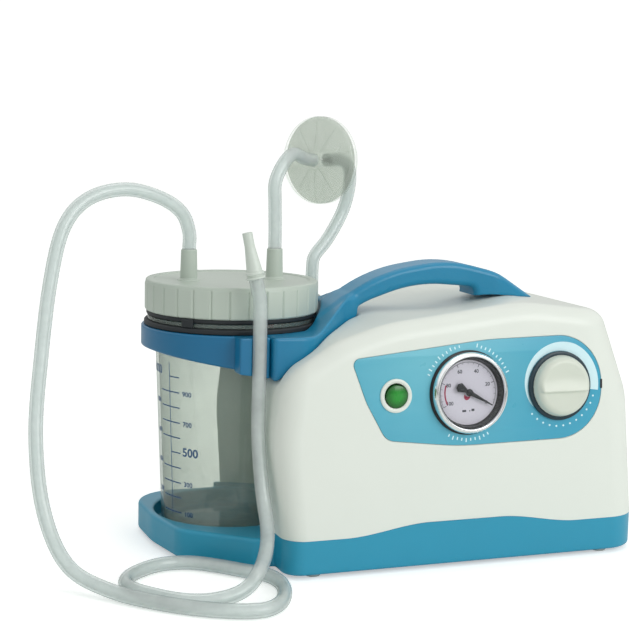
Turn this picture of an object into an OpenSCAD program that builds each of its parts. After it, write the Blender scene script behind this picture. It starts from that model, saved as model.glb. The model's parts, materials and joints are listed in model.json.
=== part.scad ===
// Portable surgical suction pump: piston vacuum pump in a two-part case,
// with a one litre collection jar, bacterial filter and patient tubing.

/* [Case] */
// Distance from the centre to the right end of the case
right_end = 175; // [168:1:180]
// Depth of the case, front to back
case_depth = 180; // [178:1:186]
// Height of the seam between base and housing
seam_z = 27.5; // [26:0.5:30]
// Rise of the seam's wave at the middle of the front
seam_wave = 7; // [4:0.5:8]
// Angle at which the front face leans back
front_lean = 5; // [4:0.5:6]
// Height of the housing at its ridge
ridge_z = 187; // [184:0.5:188]
// Wall thickness of the mouldings
wall = 2.5; // [2:0.1:2.8]

/* [Jar] */
// Outside radius of the jar under its flange
jar_rim_r = 56.5; // [55:0.5:57]
// Outside radius of the jar at its foot
jar_foot_r = 50.5; // [49:0.5:52]
// Wall thickness of the jar
jar_wall = 2.3; // [2:0.1:2.5]
// Outside radius of the lid
lid_r = 64; // [63.5:0.1:64.5]
// Number of grip flats on the lid
lid_flats = 30; // [24:2:40]

/* [Ring and handle] */
// Outside radius of the jar ring
ring_r = 66.5; // [66.2:0.1:67]
// Height of the top of the jar ring
ring_top = 163.6; // [162:0.1:164]
// Width of the carrying handle
handle_width = 30; // [26:1:34]

/* [Controls] */
// Height of the switch and gauge centres
controls_z = 125; // [123:0.5:127]
// Switch centre, from the middle of the case
switch_x = -26; // [-28:0.5:-24]
// Gauge centre, from the middle of the case
gauge_x = 30; // [28:0.5:32]
// Knob centre, from the middle of the case
knob_x = 103; // [101:0.5:105]
// Outside radius of the gauge bezel
gauge_r = 30; // [29:0.5:31]
// Radius of the vacuum regulator knob
knob_r = 22.5; // [21:0.5:23]

/* [Pump] */
// Eccentric throw of the crank
crank_throw = 2.5; // [2:0.1:2.6]
// Bore radius of the pump cylinder
cylinder_r = 20; // [19:0.5:20]
// Outside radius of the motor can
motor_r = 34; // [32:0.5:35]

/* [Tubing] */
// Outside radius of the silicone tubing
tube_r = 5; // [4.6:0.1:5]
// Radius of the filter disc
filter_r = 34; // [30:1:36]

/* [Hidden] */
$fn = 64;
running_gap = 0.05;
arc_step = 12;
eps = 0.01;
big = 400;

white = "#eef0ea";
blue = "#2f83b4";
panel_blue = "#57b4cf";
grey = "#c3cac2";
clear_grey = [0.86, 0.9, 0.9, 0.6];
dark = "#22262a";
steel = "#b8bcc0";
brass = "#c9a24a";
copper = "#b4683a";
rubber = "#3a3d40";
red = "#a51520";

// Case outline
left_x = -107;
half_depth = case_depth / 2;
case_shift_x = 49;
case_shift_y = 33;
underside_z = 3;
lean_z = 30;
edge_r = 13;
ridge_x = 78;
slope_left = 7.3;
slope_right = 7;

// Jar, tray and ring
jar_x = -113;
jar_y = 28;
tray_rim_z = 24;
jar_foot_z = 12;
jar_neck_z = 160;
jar_top_z = 189;
flange_z = 167.5;
flange_h = 3;
flange_r = 62;
tray_recess_r = 56;
niche_r = 60;
ring_bore_r = 58.5;
ring_low_slope = 9.4;
lid_bottom_z = 174;
lid_top_z = 197;
lid_inner_r = 61;
gasket_h = 2;
port_offset = 33;
port_r = 5.8;
port_top_z = 219;
port_seat_z = 206;

// Controls
bezel_r = 12;
rocker_r = 8.2;
rocker_tilt = 7;
rocker_pivot = -2.5;
panel_t = 1;
knob_z = controls_z + 2;
spindle_r = 3;
needle_rest = -28;

// Pump unit
motor_y = 15;
motor_z = 58;
motor_left = -18;
motor_right = 74;
cap_t = 4;
shaft_r = 4;
bearing_r = 9;
rod_x = 98;
rod_t = 10;
pin_r = 4;
cyl_x = 103;
case_left = 78;
case_right = 128;
cyl_low = 86;
cyl_high = 112;

// Tubing
lumen_r = tube_r * 0.64;
nozzle_x = -36;
nozzle_y = 66;
filter_centre = [-35.3, 55.8, 283.7];
filter_turn = 211.9;

// ---------- Outline helpers ----------
function unit(v) = v / norm(v);
function xy(p) = [p.x, p.y];
function left_of(v) = [-v.y, v.x];
function turned(v, a) = [v.x * cos(a) - v.y * sin(a), v.x * sin(a) + v.y * cos(a)];
function around(list, i) = list[(i + len(list)) % len(list)];

// An outline is a list of [x, y, corner radius], anticlockwise. This moves it inwards by t.
function inset(points, t) = [
  for (i = [0 : len(points) - 1])
    let (
      b = xy(points[i]),
      d = unit(b - xy(around(points, i - 1))),
      e = unit(xy(around(points, i + 1)) - b),
      m = left_of(d),
      n = left_of(e),
      moved = b + t * (m + n) / (1 + m * n)
    )
    [moved.x, moved.y, points[i][2] == 0 ? 0 : max(points[i][2] - sign(cross(d, e)) * t, 0.5)]
];

// The same outline with each corner drawn as an arc
function rounded(points) = [
  for (i = [0 : len(points) - 1])
    let (
      b = xy(points[i]),
      r = points[i][2],
      d = unit(b - xy(around(points, i - 1))),
      e = unit(xy(around(points, i + 1)) - b),
      turn = atan2(cross(d, e), d * e),
      start = b - d * r * tan(abs(turn) / 2),
      centre = start + left_of(d) * r * sign(turn),
      steps = ceil(abs(turn) / arc_step)
    )
    each r == 0 || steps == 0
      ? [b]
      : [for (k = [0 : steps]) centre + turned(start - centre, turn * k / steps)]
];

// An X-Z outline drawn right through the depth
module through_depth(outline) {
  rotate([90, 0, 0]) translate([0, 0, -big / 2]) linear_extrude(big) polygon(rounded(outline));
}

// A flat slab shape from z1 to z2 over a plan outline
module slab(outline, z1, z2) {
  translate([0, 0, z1]) linear_extrude(z2 - z1) polygon(rounded(outline));
}

// Moves a part from the case's own axes to an origin under the middle of the whole unit
module placed() {
  translate([case_shift_x, case_shift_y, 0]) children();
}

module at_jar() {
  translate([jar_x, jar_y, 0]) children();
}

module disc(r, z1, z2) {
  translate([0, 0, z1]) cylinder(r = r, h = z2 - z1);
}

module ring(r_out, r_in, z1, z2) {
  difference() {
    disc(r_out, z1, z2);
    disc(r_in, z1 - 1, z2 + 1);
  }
}

// A lathe axis along +X at the motor's centre line
module along_motor() {
  translate([0, motor_y, motor_z]) rotate([0, 90, 0]) children();
}

// Places a part on the leaning front face, its own z axis pointing outwards
module on_front(x, z) {
  translate([x, -half_depth, lean_z]) rotate([90 - front_lean, 0, 0])
    translate([0, (z - lean_z) / cos(front_lean), 0]) children();
}

// ---------- Tubes swept along a curve ----------
// A fixed direction that no tube in this pump runs along
sweep_side = [0.6, -0.5, 0.6];

function curve_at(p, i, t) = let (
    a = p[max(i - 1, 0)], b = p[i], c = p[i + 1], d = p[min(i + 2, len(p) - 1)]
  )
  0.5 * (2 * b + (c - a) * t + (2 * a - 5 * b + 4 * c - d) * t * t + (3 * b - 3 * c + d - a) * t * t * t);

function curve(p, steps) = concat(
  [for (i = [0 : len(p) - 2], k = [0 : steps - 1]) curve_at(p, i, k / steps)],
  [p[len(p) - 1]]
);

function tangent(path, i) = unit(path[min(i + 1, len(path) - 1)] - path[max(i - 1, 0)]);

function hoop(path, i, r, sides) = let (
    t = tangent(path, i), u = unit(cross(t, sweep_side)), v = cross(t, u)
  )
  [for (k = [0 : sides - 1]) path[i] + r * (u * cos(360 * k / sides) + v * sin(360 * k / sides))];

// Two triangles in place of a four-sided face
function split(face) = [[face[0], face[2], face[1]], [face[0], face[3], face[2]]];

// A hose of outside radius r round a lumen that clears a barb of radius bore
module hose(points, r, bore, steps = 3, sides = 10) {
  path = curve(points, steps);
  n = len(path);
  inner = bore / cos(180 / sides) + running_gap;
  skin = [for (i = [0 : n - 1]) each hoop(path, i, r, sides)];
  lining = [for (i = [0 : n - 1]) each hoop(path, i, inner, sides)];
  far = n * sides;
  last = (n - 1) * sides;
  polyhedron(
    concat(skin, lining),
    concat(
      [for (i = [0 : n - 2], k = [0 : sides - 1]) let (j = (k + 1) % sides, a = i * sides, b = a + sides)
        each split([a + k, a + j, b + j, b + k])],
      [for (i = [0 : n - 2], k = [0 : sides - 1])
        let (j = (k + 1) % sides, a = far + i * sides, b = a + sides)
        each split([b + k, b + j, a + j, a + k])],
      [for (k = [0 : sides - 1]) let (j = (k + 1) % sides) each split([k, far + k, far + j, j])],
      [for (k = [0 : sides - 1]) let (j = (k + 1) % sides)
        each split([last + k, last + j, far + last + j, far + last + k])]
    )
  );
}

// ---------- Case ----------
function front_y(z) = -half_depth + (z - lean_z) * tan(front_lean);

// Front view of the housing, from the height floor_z, with its seam wave
function housing_front(floor_z, wave) = [
  [left_x, floor_z, 0],
  [-60, floor_z, 80],
  [-4, floor_z + wave, 80],
  [60, floor_z + wave, 80],
  [114, floor_z, 80],
  [right_end, floor_z, 0],
  [right_end - 4.5, 118, 60],
  [right_end - 26, 179, 8],
  [ridge_x, ridge_z, 120],
  [-28, 174.3, 150],
  [-66, 162.5, 90],
  [-105.5, 139.5, 14],
  [-112, 92, 120]
];

case_plan = [
  [left_x - 6, -half_depth, 16],
  [right_end, -half_depth, 28],
  [right_end, half_depth, 28],
  [left_x - 6, half_depth, 10]
];

base_plan = [
  [left_x, -half_depth, 14],
  [right_end, -half_depth, 28],
  [right_end, half_depth, 28],
  [left_x, half_depth, 0]
];

tray_plan = [
  [-100, half_depth, 0],
  [-175, half_depth, 60],
  [-174.6, 22, 80],
  [-166.5, -22, 16],
  [-120, -63, 14],
  [-100, -63, 0]
];

// A prism whose top edge is rounded along the sloping line where the
// front (side = 1) or the back (side = -1) meets the roof
module roof_edge(side, slope, t) {
  lean = side == 1 ? front_lean : 0;
  drop = 260;
  profile = inset([
    [-drop * tan(lean), -drop, 0],
    [big, -drop, 0],
    [big, 0, 0],
    [0, 0, edge_r]
  ], t);
  translate([ridge_x, side == 1 ? front_y(ridge_z) : half_depth, ridge_z])
    rotate([0, -slope, atan(tan(lean) * tan(slope))])
        mirror([0, side == 1 ? 0 : 1, 0])
          rotate([90, 0, 90]) translate([0, 0, -big / 2]) linear_extrude(big) polygon(rounded(profile));
}

// The housing's outer form, t inside its surface, from floor_z up
module housing_form(t, floor_z, wave) {
  intersection() {
    through_depth(inset(housing_front(floor_z, wave), t));
    slab(inset(case_plan, t), 0, big);
    roof_edge(1, slope_left, t);
    roof_edge(1, -slope_right, t);
    roof_edge(-1, slope_left, t);
    roof_edge(-1, -slope_right, t);
  }
}

// Space above the sloping underside of the jar ring
module above_ring_slope(gap) {
  translate([-179, 0, 148 - gap]) rotate([0, ring_low_slope, 0])
    translate([-50, -big / 2, 0]) cube([big, big, 100]);
}

module ring_seat(r, gap) {
  intersection() {
    at_jar() disc(r, 100, big);
    above_ring_slope(gap);
  }
}

post_places = [[-58, -1], [30, -1], [118, -1], [-64, 1], [30, 1], [118, 1]];
post_y = half_depth - 6;
// The pillars of the two halves of the case meet at the top of the seam's wave
post_z = seam_z + seam_wave;

module at_posts() {
  for (p = post_places) translate([p.x, p.y * post_y, 0]) children();
}

panel_outline = [
  [-33.5, 93.5, 12],
  [22, 87, 200],
  [138.5, 88.5, 36],
  [138.5, 164.5, 36],
  [45, 162.5, 200],
  [-59.5, 151.5, 5],
  [-48.5, 121, 60]
];

function on_face(outline) = [for (p = outline) [p.x, (p.y - lean_z) / cos(front_lean), p[2]]];

module panel_plate(t, z1, z2) {
  on_front(0, lean_z) slab(inset(on_face(panel_outline), t), z1, z2);
}

module control_holes(gap) {
  on_front(switch_x, controls_z) disc(10 + gap, -10, 10);
  on_front(gauge_x, controls_z) disc(27 + gap, -10, 10);
  on_front(knob_x, knob_z) disc(6 + gap, -10, 10);
}

inlet_x = 112;
inlet_z = 62;
inlet_pitch = 40;

module at_inlet() {
  translate([inlet_x, half_depth, inlet_z]) children();
}

module rear_vents() {
  for (i = [0 : 8])
    translate([-22 + i * 9, half_depth - 10, 45]) cube([3.5, 20, 38]);
}

// Under the carrying handle the roof is dished for the knuckles
module hand_dish(t) {
  dish_r = 170;
  translate([24, 0, 176 + dish_r]) sphere(r = dish_r + t);
}

module housing() {
  placed() color(white) difference() {
    union() {
      difference() {
        housing_form(0, seam_z, seam_wave);
        difference() {
          housing_form(wall, seam_z - 20, 0);
          at_jar() disc(niche_r + wall, 0, big);
          ring_seat(ring_r + wall, wall);
          hand_dish(wall);
        }
      }
      intersection() {
        at_posts() disc(4, post_z, 60);
        housing_form(1, seam_z - 2, 0);
      }
    }
    at_jar() disc(niche_r, 0, big);
    ring_seat(ring_r + running_gap, running_gap);
    hand_dish(0);
    at_posts() disc(1.5, 0, 46);
    saddle_form(0.2);
    panel_plate(0, -panel_t, 5);
    control_holes(0.2);
    rear_vents();
    translate([nozzle_x, nozzle_y, 150]) cylinder(r = 8, h = 60);
    at_inlet() translate([-14, -10, -15.5]) cube([28, 20, 31]);
    at_inlet() for (s = [-1, 1])
      translate([s * inlet_pitch / 2, -10, 0]) rotate([-90, 0, 0]) cylinder(r = 1.5, h = 20);
  }
}

module seam_slab() {
  rotate([90, 0, 0]) translate([0, 0, -big / 2]) linear_extrude(big)
    polygon(concat(
      [[left_x - 80, 0], [right_end + 5, 0], [right_end + 5, seam_z]],
      [for (p = seam_line()) p],
      [[left_x - 80, seam_z]]
    ));
}

// The seam from right to left, on the same curve as the housing's lower edge
function seam_line() = let (
    curve_points = rounded([
      [left_x - 80, 0, 0], [right_end + 5, 0, 0], [right_end + 5, seam_z, 0],
      [114, seam_z, 80], [60, seam_z + seam_wave, 80], [-4, seam_z + seam_wave, 80], [-60, seam_z, 80],
      [left_x - 80, seam_z, 0]
    ])
  )
  [for (i = [3 : len(curve_points) - 2]) curve_points[i]];

module base_tray() {
  placed() color(blue) difference() {
    union() {
      difference() {
        intersection() {
          slab(base_plan, underside_z, 60);
          seam_slab();
        }
        difference() {
          slab(inset(base_plan, wall), underside_z + wall, 60);
          at_jar() disc(niche_r + wall, 0, 60);
        }
      }
      slab(tray_plan, underside_z, tray_rim_z);
      at_posts() disc(5, underside_z, seam_z - 5);
      at_posts() disc(3, seam_z - 6, post_z);
      for (p = damper_places) translate([p.x, p.y, 0]) disc(9, underside_z, 8);
    }
    at_jar() disc(tray_recess_r, jar_foot_z, big);
    at_jar() disc(niche_r, tray_rim_z, big);
    at_jar() disc(50, 0, jar_foot_z - wall);
    at_posts() disc(1.8, 0, big);
    at_posts() disc(3.4, 0, 8);
    for (p = foot_places) translate([p.x, p.y, 0]) disc(4, 0, underside_z + 1);
    for (i = [0 : 7]) translate([-20 + i * 9, 30, 0]) cube([3.5, 36, 10]);
  }
}

foot_places = [[-84, -79], [144, -79], [144, 79], [-84, 79]];

module rubber_feet() {
  placed() color(rubber) for (p = foot_places) translate([p.x, p.y, 0]) {
    disc(5.5, 0, underside_z);
    disc(4, underside_z - eps, underside_z + 1);
  }
}

module base_screws() {
  placed() color(steel) at_posts() {
    disc(3, 5.5, 8);
    disc(1.5, 7.9, 42);
  }
}

// ---------- Jar ring and carrying handle ----------
saddle_plan = [
  [-107.5, -56, 3],
  [-80, -57, 22],
  [-40, -19, 25],
  [-30, -15, 0],
  [-30, 15, 0],
  [-42, 22, 25],
  [-58, 72, 14],
  [-88, 84, 8],
  [-107.5, 84, 0]
];

saddle_front = [
  [-125, 132, 0],
  [-104, 134, 0],
  [-66, 157, 60],
  [-34, 167.5, 0],
  [-28, 174, 0],
  [-34, 190, 20],
  [-66, 168, 30],
  [-74, ring_top + 0.4, 20],
  [-125, ring_top + 0.4, 0]
];

// The cover over the left shoulder, from the ring to the root of the handle
module saddle_form(gap) {
  intersection() {
    slab(inset(saddle_plan, -gap), 120, 230);
    through_depth(inset(saddle_front, -gap));
  }
}

handle_front = [
  [-40, 150, 0],
  [-46, 166, 10],
  [-24, 182, 60],
  [18, 196, 120],
  [67, 192, 5],
  [64, 180, 0],
  [84, 178, 0],
  [121.5, 180.5, 1.5],
  [84, 203, 60],
  [44, 213, 130],
  [-14, 204, 120],
  [-70, 165, 0],
  [-70, 150, 0]
];

handle_plan = [
  [-80, -handle_width / 2, 0],
  [60, -handle_width / 2, 60],
  [84, -handle_width / 2 - 3, 20],
  [126, -handle_width / 2 + 6, 8],
  [126, handle_width / 2 - 6, 8],
  [84, handle_width / 2 + 3, 20],
  [60, handle_width / 2, 60],
  [-80, handle_width / 2, 0]
];

module handle_ring() {
  placed() color(blue) difference() {
    union() {
      intersection() {
        at_jar() disc(ring_r, 100, ring_top);
        above_ring_slope(0);
      }
      saddle_form(0);
      difference() {
        intersection() {
          through_depth(handle_front);
          slab(handle_plan, 100, 230);
        }
        housing_form(-running_gap, seam_z, 0);
      }
    }
    at_jar() disc(ring_bore_r, 0, big);
    at_jar() disc(lid_r + 2, ring_top, big);
    translate([-big, half_depth, 0]) cube([2 * big, big, big]);
  }
}

// A rubber bead on top of the ring, which the jar's flange comes down on
module ring_cushion() {
  placed() color(rubber) at_jar() rotate_extrude() polygon(rounded([
    [ring_bore_r - 1, ring_top, 0],
    [lid_r + 0.6, ring_top, 0],
    [lid_r + 0.6, flange_z - 0.1, 1.2],
    [ring_bore_r - 1, flange_z - 0.1, 1.2]
  ]));
}

clip_x = -116;
clip_y = -50;

clip_half = 11;

module tube_clip() {
  placed() color(blue) difference() {
    intersection() {
      translate([clip_x - clip_half - 3, clip_y + 0.5, 100]) cube([2 * clip_half, 30, ring_top - 100]);
      above_ring_slope(0);
    }
    at_jar() disc(ring_r + running_gap, 0, big);
    translate([clip_x, clip_y, 0]) disc(tube_r + 0.3, 100, big);
    translate([clip_x - tube_r - 0.3, clip_y - 10, 100]) cube([2 * tube_r + 0.6, 10, 100]);
  }
}

module control_panel() {
  placed() color(panel_blue) difference() {
    panel_plate(0.3, -panel_t, 0);
    control_holes(0);
  }
}

// ---------- Switch ----------
module switch_bezel() {
  placed() color(white) on_front(switch_x, controls_z) {
    ring(bezel_r, rocker_r + 0.6, 0, 1.5);
    difference() {
      ring(10, rocker_r + 0.6, -7, eps);
      rotate([0, 90, 0]) translate([-rocker_pivot, 0, 0])
        cylinder(r = 1.2 + running_gap, h = 30, center = true);
    }
  }
}

module switch_body() {
  placed() color(dark) on_front(switch_x, controls_z) {
    disc(10, -22, -7);
    for (s = [-1, 1]) translate([s * 3.5 - 0.4, -3, -30]) cube([0.8, 6, 8.5]);
  }
}

module rocker() {
  placed() color("#35c26a") on_front(switch_x, controls_z)
    translate([0, 0, rocker_pivot]) rotate([rocker_tilt, 0, 0]) {
      intersection() {
        disc(rocker_r, -3, 7);
        translate([0, 0, -16]) sphere(r = 22.6);
      }
      rotate([0, 90, 0]) cylinder(r = 1.2, h = 19, center = true);
    }
}

// ---------- Vacuum gauge ----------
module gauge_bezel() {
  placed() color(steel) on_front(gauge_x, controls_z) difference() {
    rotate_extrude() polygon(rounded([
      [27, 0, 0], [gauge_r, 0, 0], [gauge_r, 8, 3], [25.5, 8, 1.5], [25.5, 6, 0], [27, 6, 0]
    ]));
  }
}

module gauge_case() {
  placed() color(dark) on_front(gauge_x, controls_z) difference() {
    union() {
      disc(27, -24, 5);
      disc(5, -34, -23);
      disc(3.15, -43, -33);
    }
    disc(25.5, -22.5, 6);
    disc(1.6, -50, -20);
  }
}

module gauge_dial() {
  placed() color("#f1eaee") on_front(gauge_x, controls_z) ring(25.4, 1.2, -1, -0.2);
}

module gauge_glass() {
  placed() color([0.9, 0.95, 0.97, 0.3]) on_front(gauge_x, controls_z) disc(26.9, 5, 6);
}

// Brass movement with the bourdon tube bent round it
module gauge_movement() {
  placed() color(brass) on_front(gauge_x, controls_z) difference() {
    union() {
      translate([-8, -6, -20]) cube([16, 12, 17]);
      translate([0, 0, -14]) rotate_extrude(angle = 250) translate([18, 0]) circle(r = 2.5, $fn = 24);
      translate([7, -2, -15.5]) cube([10, 4, 3]);
      disc(4, -22.4, -19.9);
    }
    disc(0.8 + running_gap, -16, 0);
    disc(1.6, -23, -17);
  }
}

module gauge_needle() {
  placed() color("#16181b") on_front(gauge_x, controls_z) rotate([0, 0, needle_rest]) {
    disc(0.8, -12, 3.8);
    disc(2.6, 1.8, 3.2);
    translate([0, 0, 2]) linear_extrude(0.8)
      polygon([[-2, -1.4], [0, -2.2], [4, -1.3], [20, -0.3], [20, 0.3], [4, 1.3], [0, 2.2], [-2, 1.4],
        [-9, 3.2], [-11, 0], [-9, -3.2]]);
  }
}

// ---------- Vacuum regulator ----------
nut_r = 8;
spindle_top = 11;
knob_foot = 2.6;
knob_face = 9.4;
knob_inside = 6.6;
grip_top = 13.6;

module regulator_valve() {
  placed() color(brass) on_front(knob_x, knob_z) difference() {
    union() {
      disc(11, -30, -wall - 0.1);
      disc(6, -5, 3.2);
      translate([0, 0, -22]) rotate([0, -90, 0]) cylinder(r = 3.15, h = 24);
      translate([0, 0, -22]) rotate([0, 90, 0]) cylinder(r = 3.15, h = 24);
    }
    disc(spindle_r + running_gap, -24, 10);
    translate([0, 0, -22]) rotate([0, 90, 0]) cylinder(r = 1.8, h = 60, center = true);
  }
}

module valve_nut() {
  placed() color(steel) on_front(knob_x, knob_z) difference() {
    cylinder(r = nut_r, h = 2.4, $fn = 6);
    disc(6, -1, 4);
  }
}

module regulator_spindle() {
  placed() color(steel) on_front(knob_x, knob_z) disc(spindle_r, -20, spindle_top);
}

module knob_skirt() {
  placed() color("#15384a") on_front(knob_x, knob_z) ring(knob_r + 2.3, nut_r + 1, 0.6, knob_foot);
}

module regulator_knob() {
  placed() color("#dcdcc8") on_front(knob_x, knob_z) difference() {
    union() {
      rotate_extrude() polygon(rounded([
        [0, knob_foot, 0], [knob_r, knob_foot, 0], [knob_r - 0.8, knob_face + 0.8, 4.5], [0, knob_face, 0]
      ]));
      intersection() {
        disc(knob_r - 1.5, knob_foot, grip_top + 1);
        rotate([90, 0, 90]) translate([0, 0, -30]) linear_extrude(60)
          polygon(rounded([[-7, 5, 0], [7, 5, 0], [4, grip_top, 2.5], [-4, grip_top, 2.5]]));
      }
    }
    ring(knob_r - 2, 6, 0, knob_inside);
    disc(nut_r + 1, 0, 4.2);
    disc(spindle_r, 0, spindle_top);
  }
}

// ---------- Suction line inside the case ----------
module inlet_nozzle() {
  placed() color(grey) translate([nozzle_x, nozzle_y, 0]) difference() {
    union() {
      disc(8, 166, 179);
      disc(lumen_r - 0.05, 178, 189);
      disc(3.15, 158, 167);
    }
    disc(1.8, 150, 200);
  }
}

valve_port = [knob_x, front_y(knob_z) + 22 * cos(front_lean), knob_z - 22 * sin(front_lean)];
head_port = [cyl_x - 9, motor_y, 138];

module suction_hose() {
  placed() color(clear_grey) {
    hose([[nozzle_x, nozzle_y, 165.8], [nozzle_x, nozzle_y, 157], [nozzle_x, nozzle_y, 149],
      [nozzle_x + 5, nozzle_y - 6, 138], [nozzle_x + 24, 44, 136], [20, 16, 146], [56, -4, 155],
      [78, -6, 158], [head_port.x - 3, 0, 160], [head_port.x, 11, 159], [head_port.x, motor_y, 152],
      [head_port.x, motor_y, 143], [head_port.x, motor_y, 134]], 4.8, 3.15);
  }
}

// A point straight behind the gauge's port
function behind_gauge(d) = [
  gauge_x, front_y(controls_z) + d * cos(front_lean), controls_z - d * sin(front_lean)
];

module gauge_hose() {
  placed() color(clear_grey)
    hose([behind_gauge(35), behind_gauge(43), behind_gauge(51), [gauge_x + 8, -25, 118],
      [gauge_x + 20, -29, 116], [gauge_x + 29, -44, 119], valve_port - [37, 0, 0], valve_port - [25, 0, 0],
      valve_port - [13, 0, 0]], 4.8, 3.15);
}

module silencer() {
  placed() color(dark) translate([cyl_x + 9, motor_y, 0]) difference() {
    union() {
      disc(7, 136, 158);
      disc(4, 133, 137);
    }
    disc(2, 132.5, 150);
    for (a = [0 : 45 : 315]) rotate([0, 0, a]) translate([4.6, 0, 150]) cylinder(r = 0.9, h = 10);
  }
}

// ---------- Motor ----------
module motor_can() {
  placed() color(steel) along_motor() difference() {
    ring(motor_r, motor_r - 3, motor_left + cap_t, motor_right - cap_t);
    for (a = [0 : 30 : 330], x = [-6, 60]) rotate([0, 0, a])
      translate([motor_r - 5, -2, x]) cube([10, 4, 8]);
  }
}

module motor_end_caps() {
  placed() color("#8d9297") along_motor() {
    difference() {
      union() {
        disc(motor_r, motor_left, motor_left + cap_t);
        disc(bearing_r + 3, motor_left + cap_t - eps, motor_left + cap_t + 5);
      }
      disc(bearing_r, motor_left - 1, motor_left + cap_t + 3);
      disc(shaft_r + 1, motor_left, motor_left + 20);
      for (a = [0 : 60 : 300]) rotate([0, 0, a]) translate([22, 0, motor_left - 1]) cylinder(r = 5, h = 10);
    }
    difference() {
      union() {
        disc(motor_r, motor_right - cap_t, motor_right);
        disc(bearing_r + 3, motor_right - cap_t - 5, motor_right - cap_t + eps);
      }
      disc(bearing_r, motor_right - cap_t - 3, motor_right + 1);
      disc(shaft_r + 1, motor_right - 20, motor_right);
    }
  }
}

module motor_bearings() {
  placed() color(steel) along_motor() {
    ring(bearing_r, shaft_r + running_gap, motor_left, motor_left + 7);
    ring(bearing_r, shaft_r + running_gap, motor_right - 7, motor_right);
  }
}

module stator_core() {
  placed() color("#6d7277") along_motor() difference() {
    disc(motor_r - 3, 8, 48);
    disc(18.6, 0, 60);
    for (a = [0 : 30 : 330]) rotate([0, 0, a]) translate([20.5, -1.6, 0]) cube([6.5, 3.2, 60]);
  }
}

module stator_coils() {
  placed() color(copper) along_motor() {
    ring(28, 20, -1, 8);
    ring(28, 20, 48, 57);
  }
}

module motor_shaft() {
  placed() color(steel) along_motor() disc(shaft_r, motor_left - 16, 90);
}

module rotor_core() {
  placed() color("#7b8085") along_motor() difference() {
    disc(18, 10, 46);
    disc(shaft_r, 0, 60);
  }
}

module cooling_fan() {
  placed() color(dark) along_motor() difference() {
    union() {
      ring(8, shaft_r, motor_left - 14, motor_left - 4);
      ring(22, 7.9, motor_left - 6, motor_left - 4);
      for (a = [0 : 40 : 320]) rotate([0, 0, a])
        translate([7.8, -0.8, motor_left - 14]) cube([18, 1.6, 8.1]);
    }
    disc(shaft_r, motor_left - 20, motor_left);
  }
}

// ---------- Pump head ----------
module crank() {
  placed() color(steel) along_motor() {
    disc(12, 90, 97);
    translate([-crank_throw, 0, 0]) disc(pin_r, 96.9, 110);
  }
}

module crankcase() {
  placed() color("#9aa0a4") difference() {
    union() {
      translate([case_left, motor_y - 26, 36]) cube([case_right - case_left, 52, cyl_low - 36]);
      for (s = [-1, 1]) translate([case_left + 5, motor_y + s * 30 - 5, 33]) cube([40, 10, 5]);
    }
    translate([case_left + 5, motor_y - 21, 41]) cube([case_right - case_left - 10, 42, cyl_low - 46]);
    translate([cyl_x, motor_y, 0]) disc(cylinder_r, 60, 100);
    along_motor() disc(shaft_r + 1, 70, 90);
  }
}

module pump_cylinder() {
  placed() color(steel) translate([cyl_x, motor_y, 0]) difference() {
    union() {
      disc(cylinder_r + 3, cyl_low, cyl_high);
      for (z = [cyl_low : 4 : cyl_high - 2]) disc(cylinder_r + 5, z, z + 2);
    }
    disc(cylinder_r, 80, 120);
    at_head_screws() disc(1.5, -50, 50);
  }
}

module at_head_screws() {
  for (a = [45 : 90 : 315]) rotate([0, 0, a]) translate([cylinder_r + 3, 0, cyl_high]) children();
}

module valve_plate() {
  placed() color(steel) translate([cyl_x, motor_y, 0]) difference() {
    disc(cylinder_r + 5, cyl_high, cyl_high + 3);
    for (s = [-1, 1]) translate([s * 9, 0, 0]) disc(3, 100, 120);
    at_head_screws() disc(1.5, -50, 50);
  }
}

module cylinder_head() {
  placed() color("#9aa0a4") translate([cyl_x, motor_y, 0]) difference() {
    union() {
      disc(cylinder_r + 5, cyl_high + 3, cyl_high + 13);
      for (i = [-2 : 2]) translate([i * 8 - 1, -12, cyl_high + 12]) cube([2, 24, 6]);
      for (s = [-1, 1]) translate([s * 9, 0, 0]) disc(5.5, cyl_high + 12, 133);
      translate([-9, 0, 0]) disc(3.15, 132, 142);
    }
    for (s = [-1, 1]) translate([s * 9, 0, 0]) disc(6, cyl_high, cyl_high + 9);
    for (s = [-1, 1]) translate([s * 9, 0, 0]) disc(2, 100, 150);
    at_head_screws() disc(1.5, -50, 50);
  }
}

module head_screws() {
  placed() color(steel) translate([cyl_x, motor_y, 0]) at_head_screws() {
    disc(1.5, -24, 13.1);
    disc(2.8, 13, 15.5);
  }
}

module connecting_rod() {
  placed() color("#c9cdd0") {
    along_motor() translate([-crank_throw, 0, 0]) ring(9, pin_r + running_gap, rod_x, rod_x + rod_t);
    difference() {
      translate([rod_x + 1, motor_y - 4, motor_z + crank_throw + 5]) cube([rod_t - 2, 8, 33]);
      along_motor() translate([-crank_throw, 0, 0]) disc(8, rod_x - 1, rod_x + rod_t + 1);
    }
    translate([cyl_x, motor_y, 0]) disc(14, 98, 103);
    translate([cyl_x, motor_y, 0]) disc(11, 105, 108);
    translate([cyl_x, motor_y, 0]) disc(5, 102, 106);
  }
}

module piston_cup() {
  placed() color(rubber) translate([cyl_x, motor_y, 0]) difference() {
    disc(cylinder_r - crank_throw - 0.3, 103, 107);
    disc(5, 100, 110);
    disc(11, 105, 110);
  }
}

// ---------- Mounting of the pump unit ----------
damper_places = [[-8, -20], [-8, 50], [120, -20], [120, 50]];
bracket_z = 18;

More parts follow.
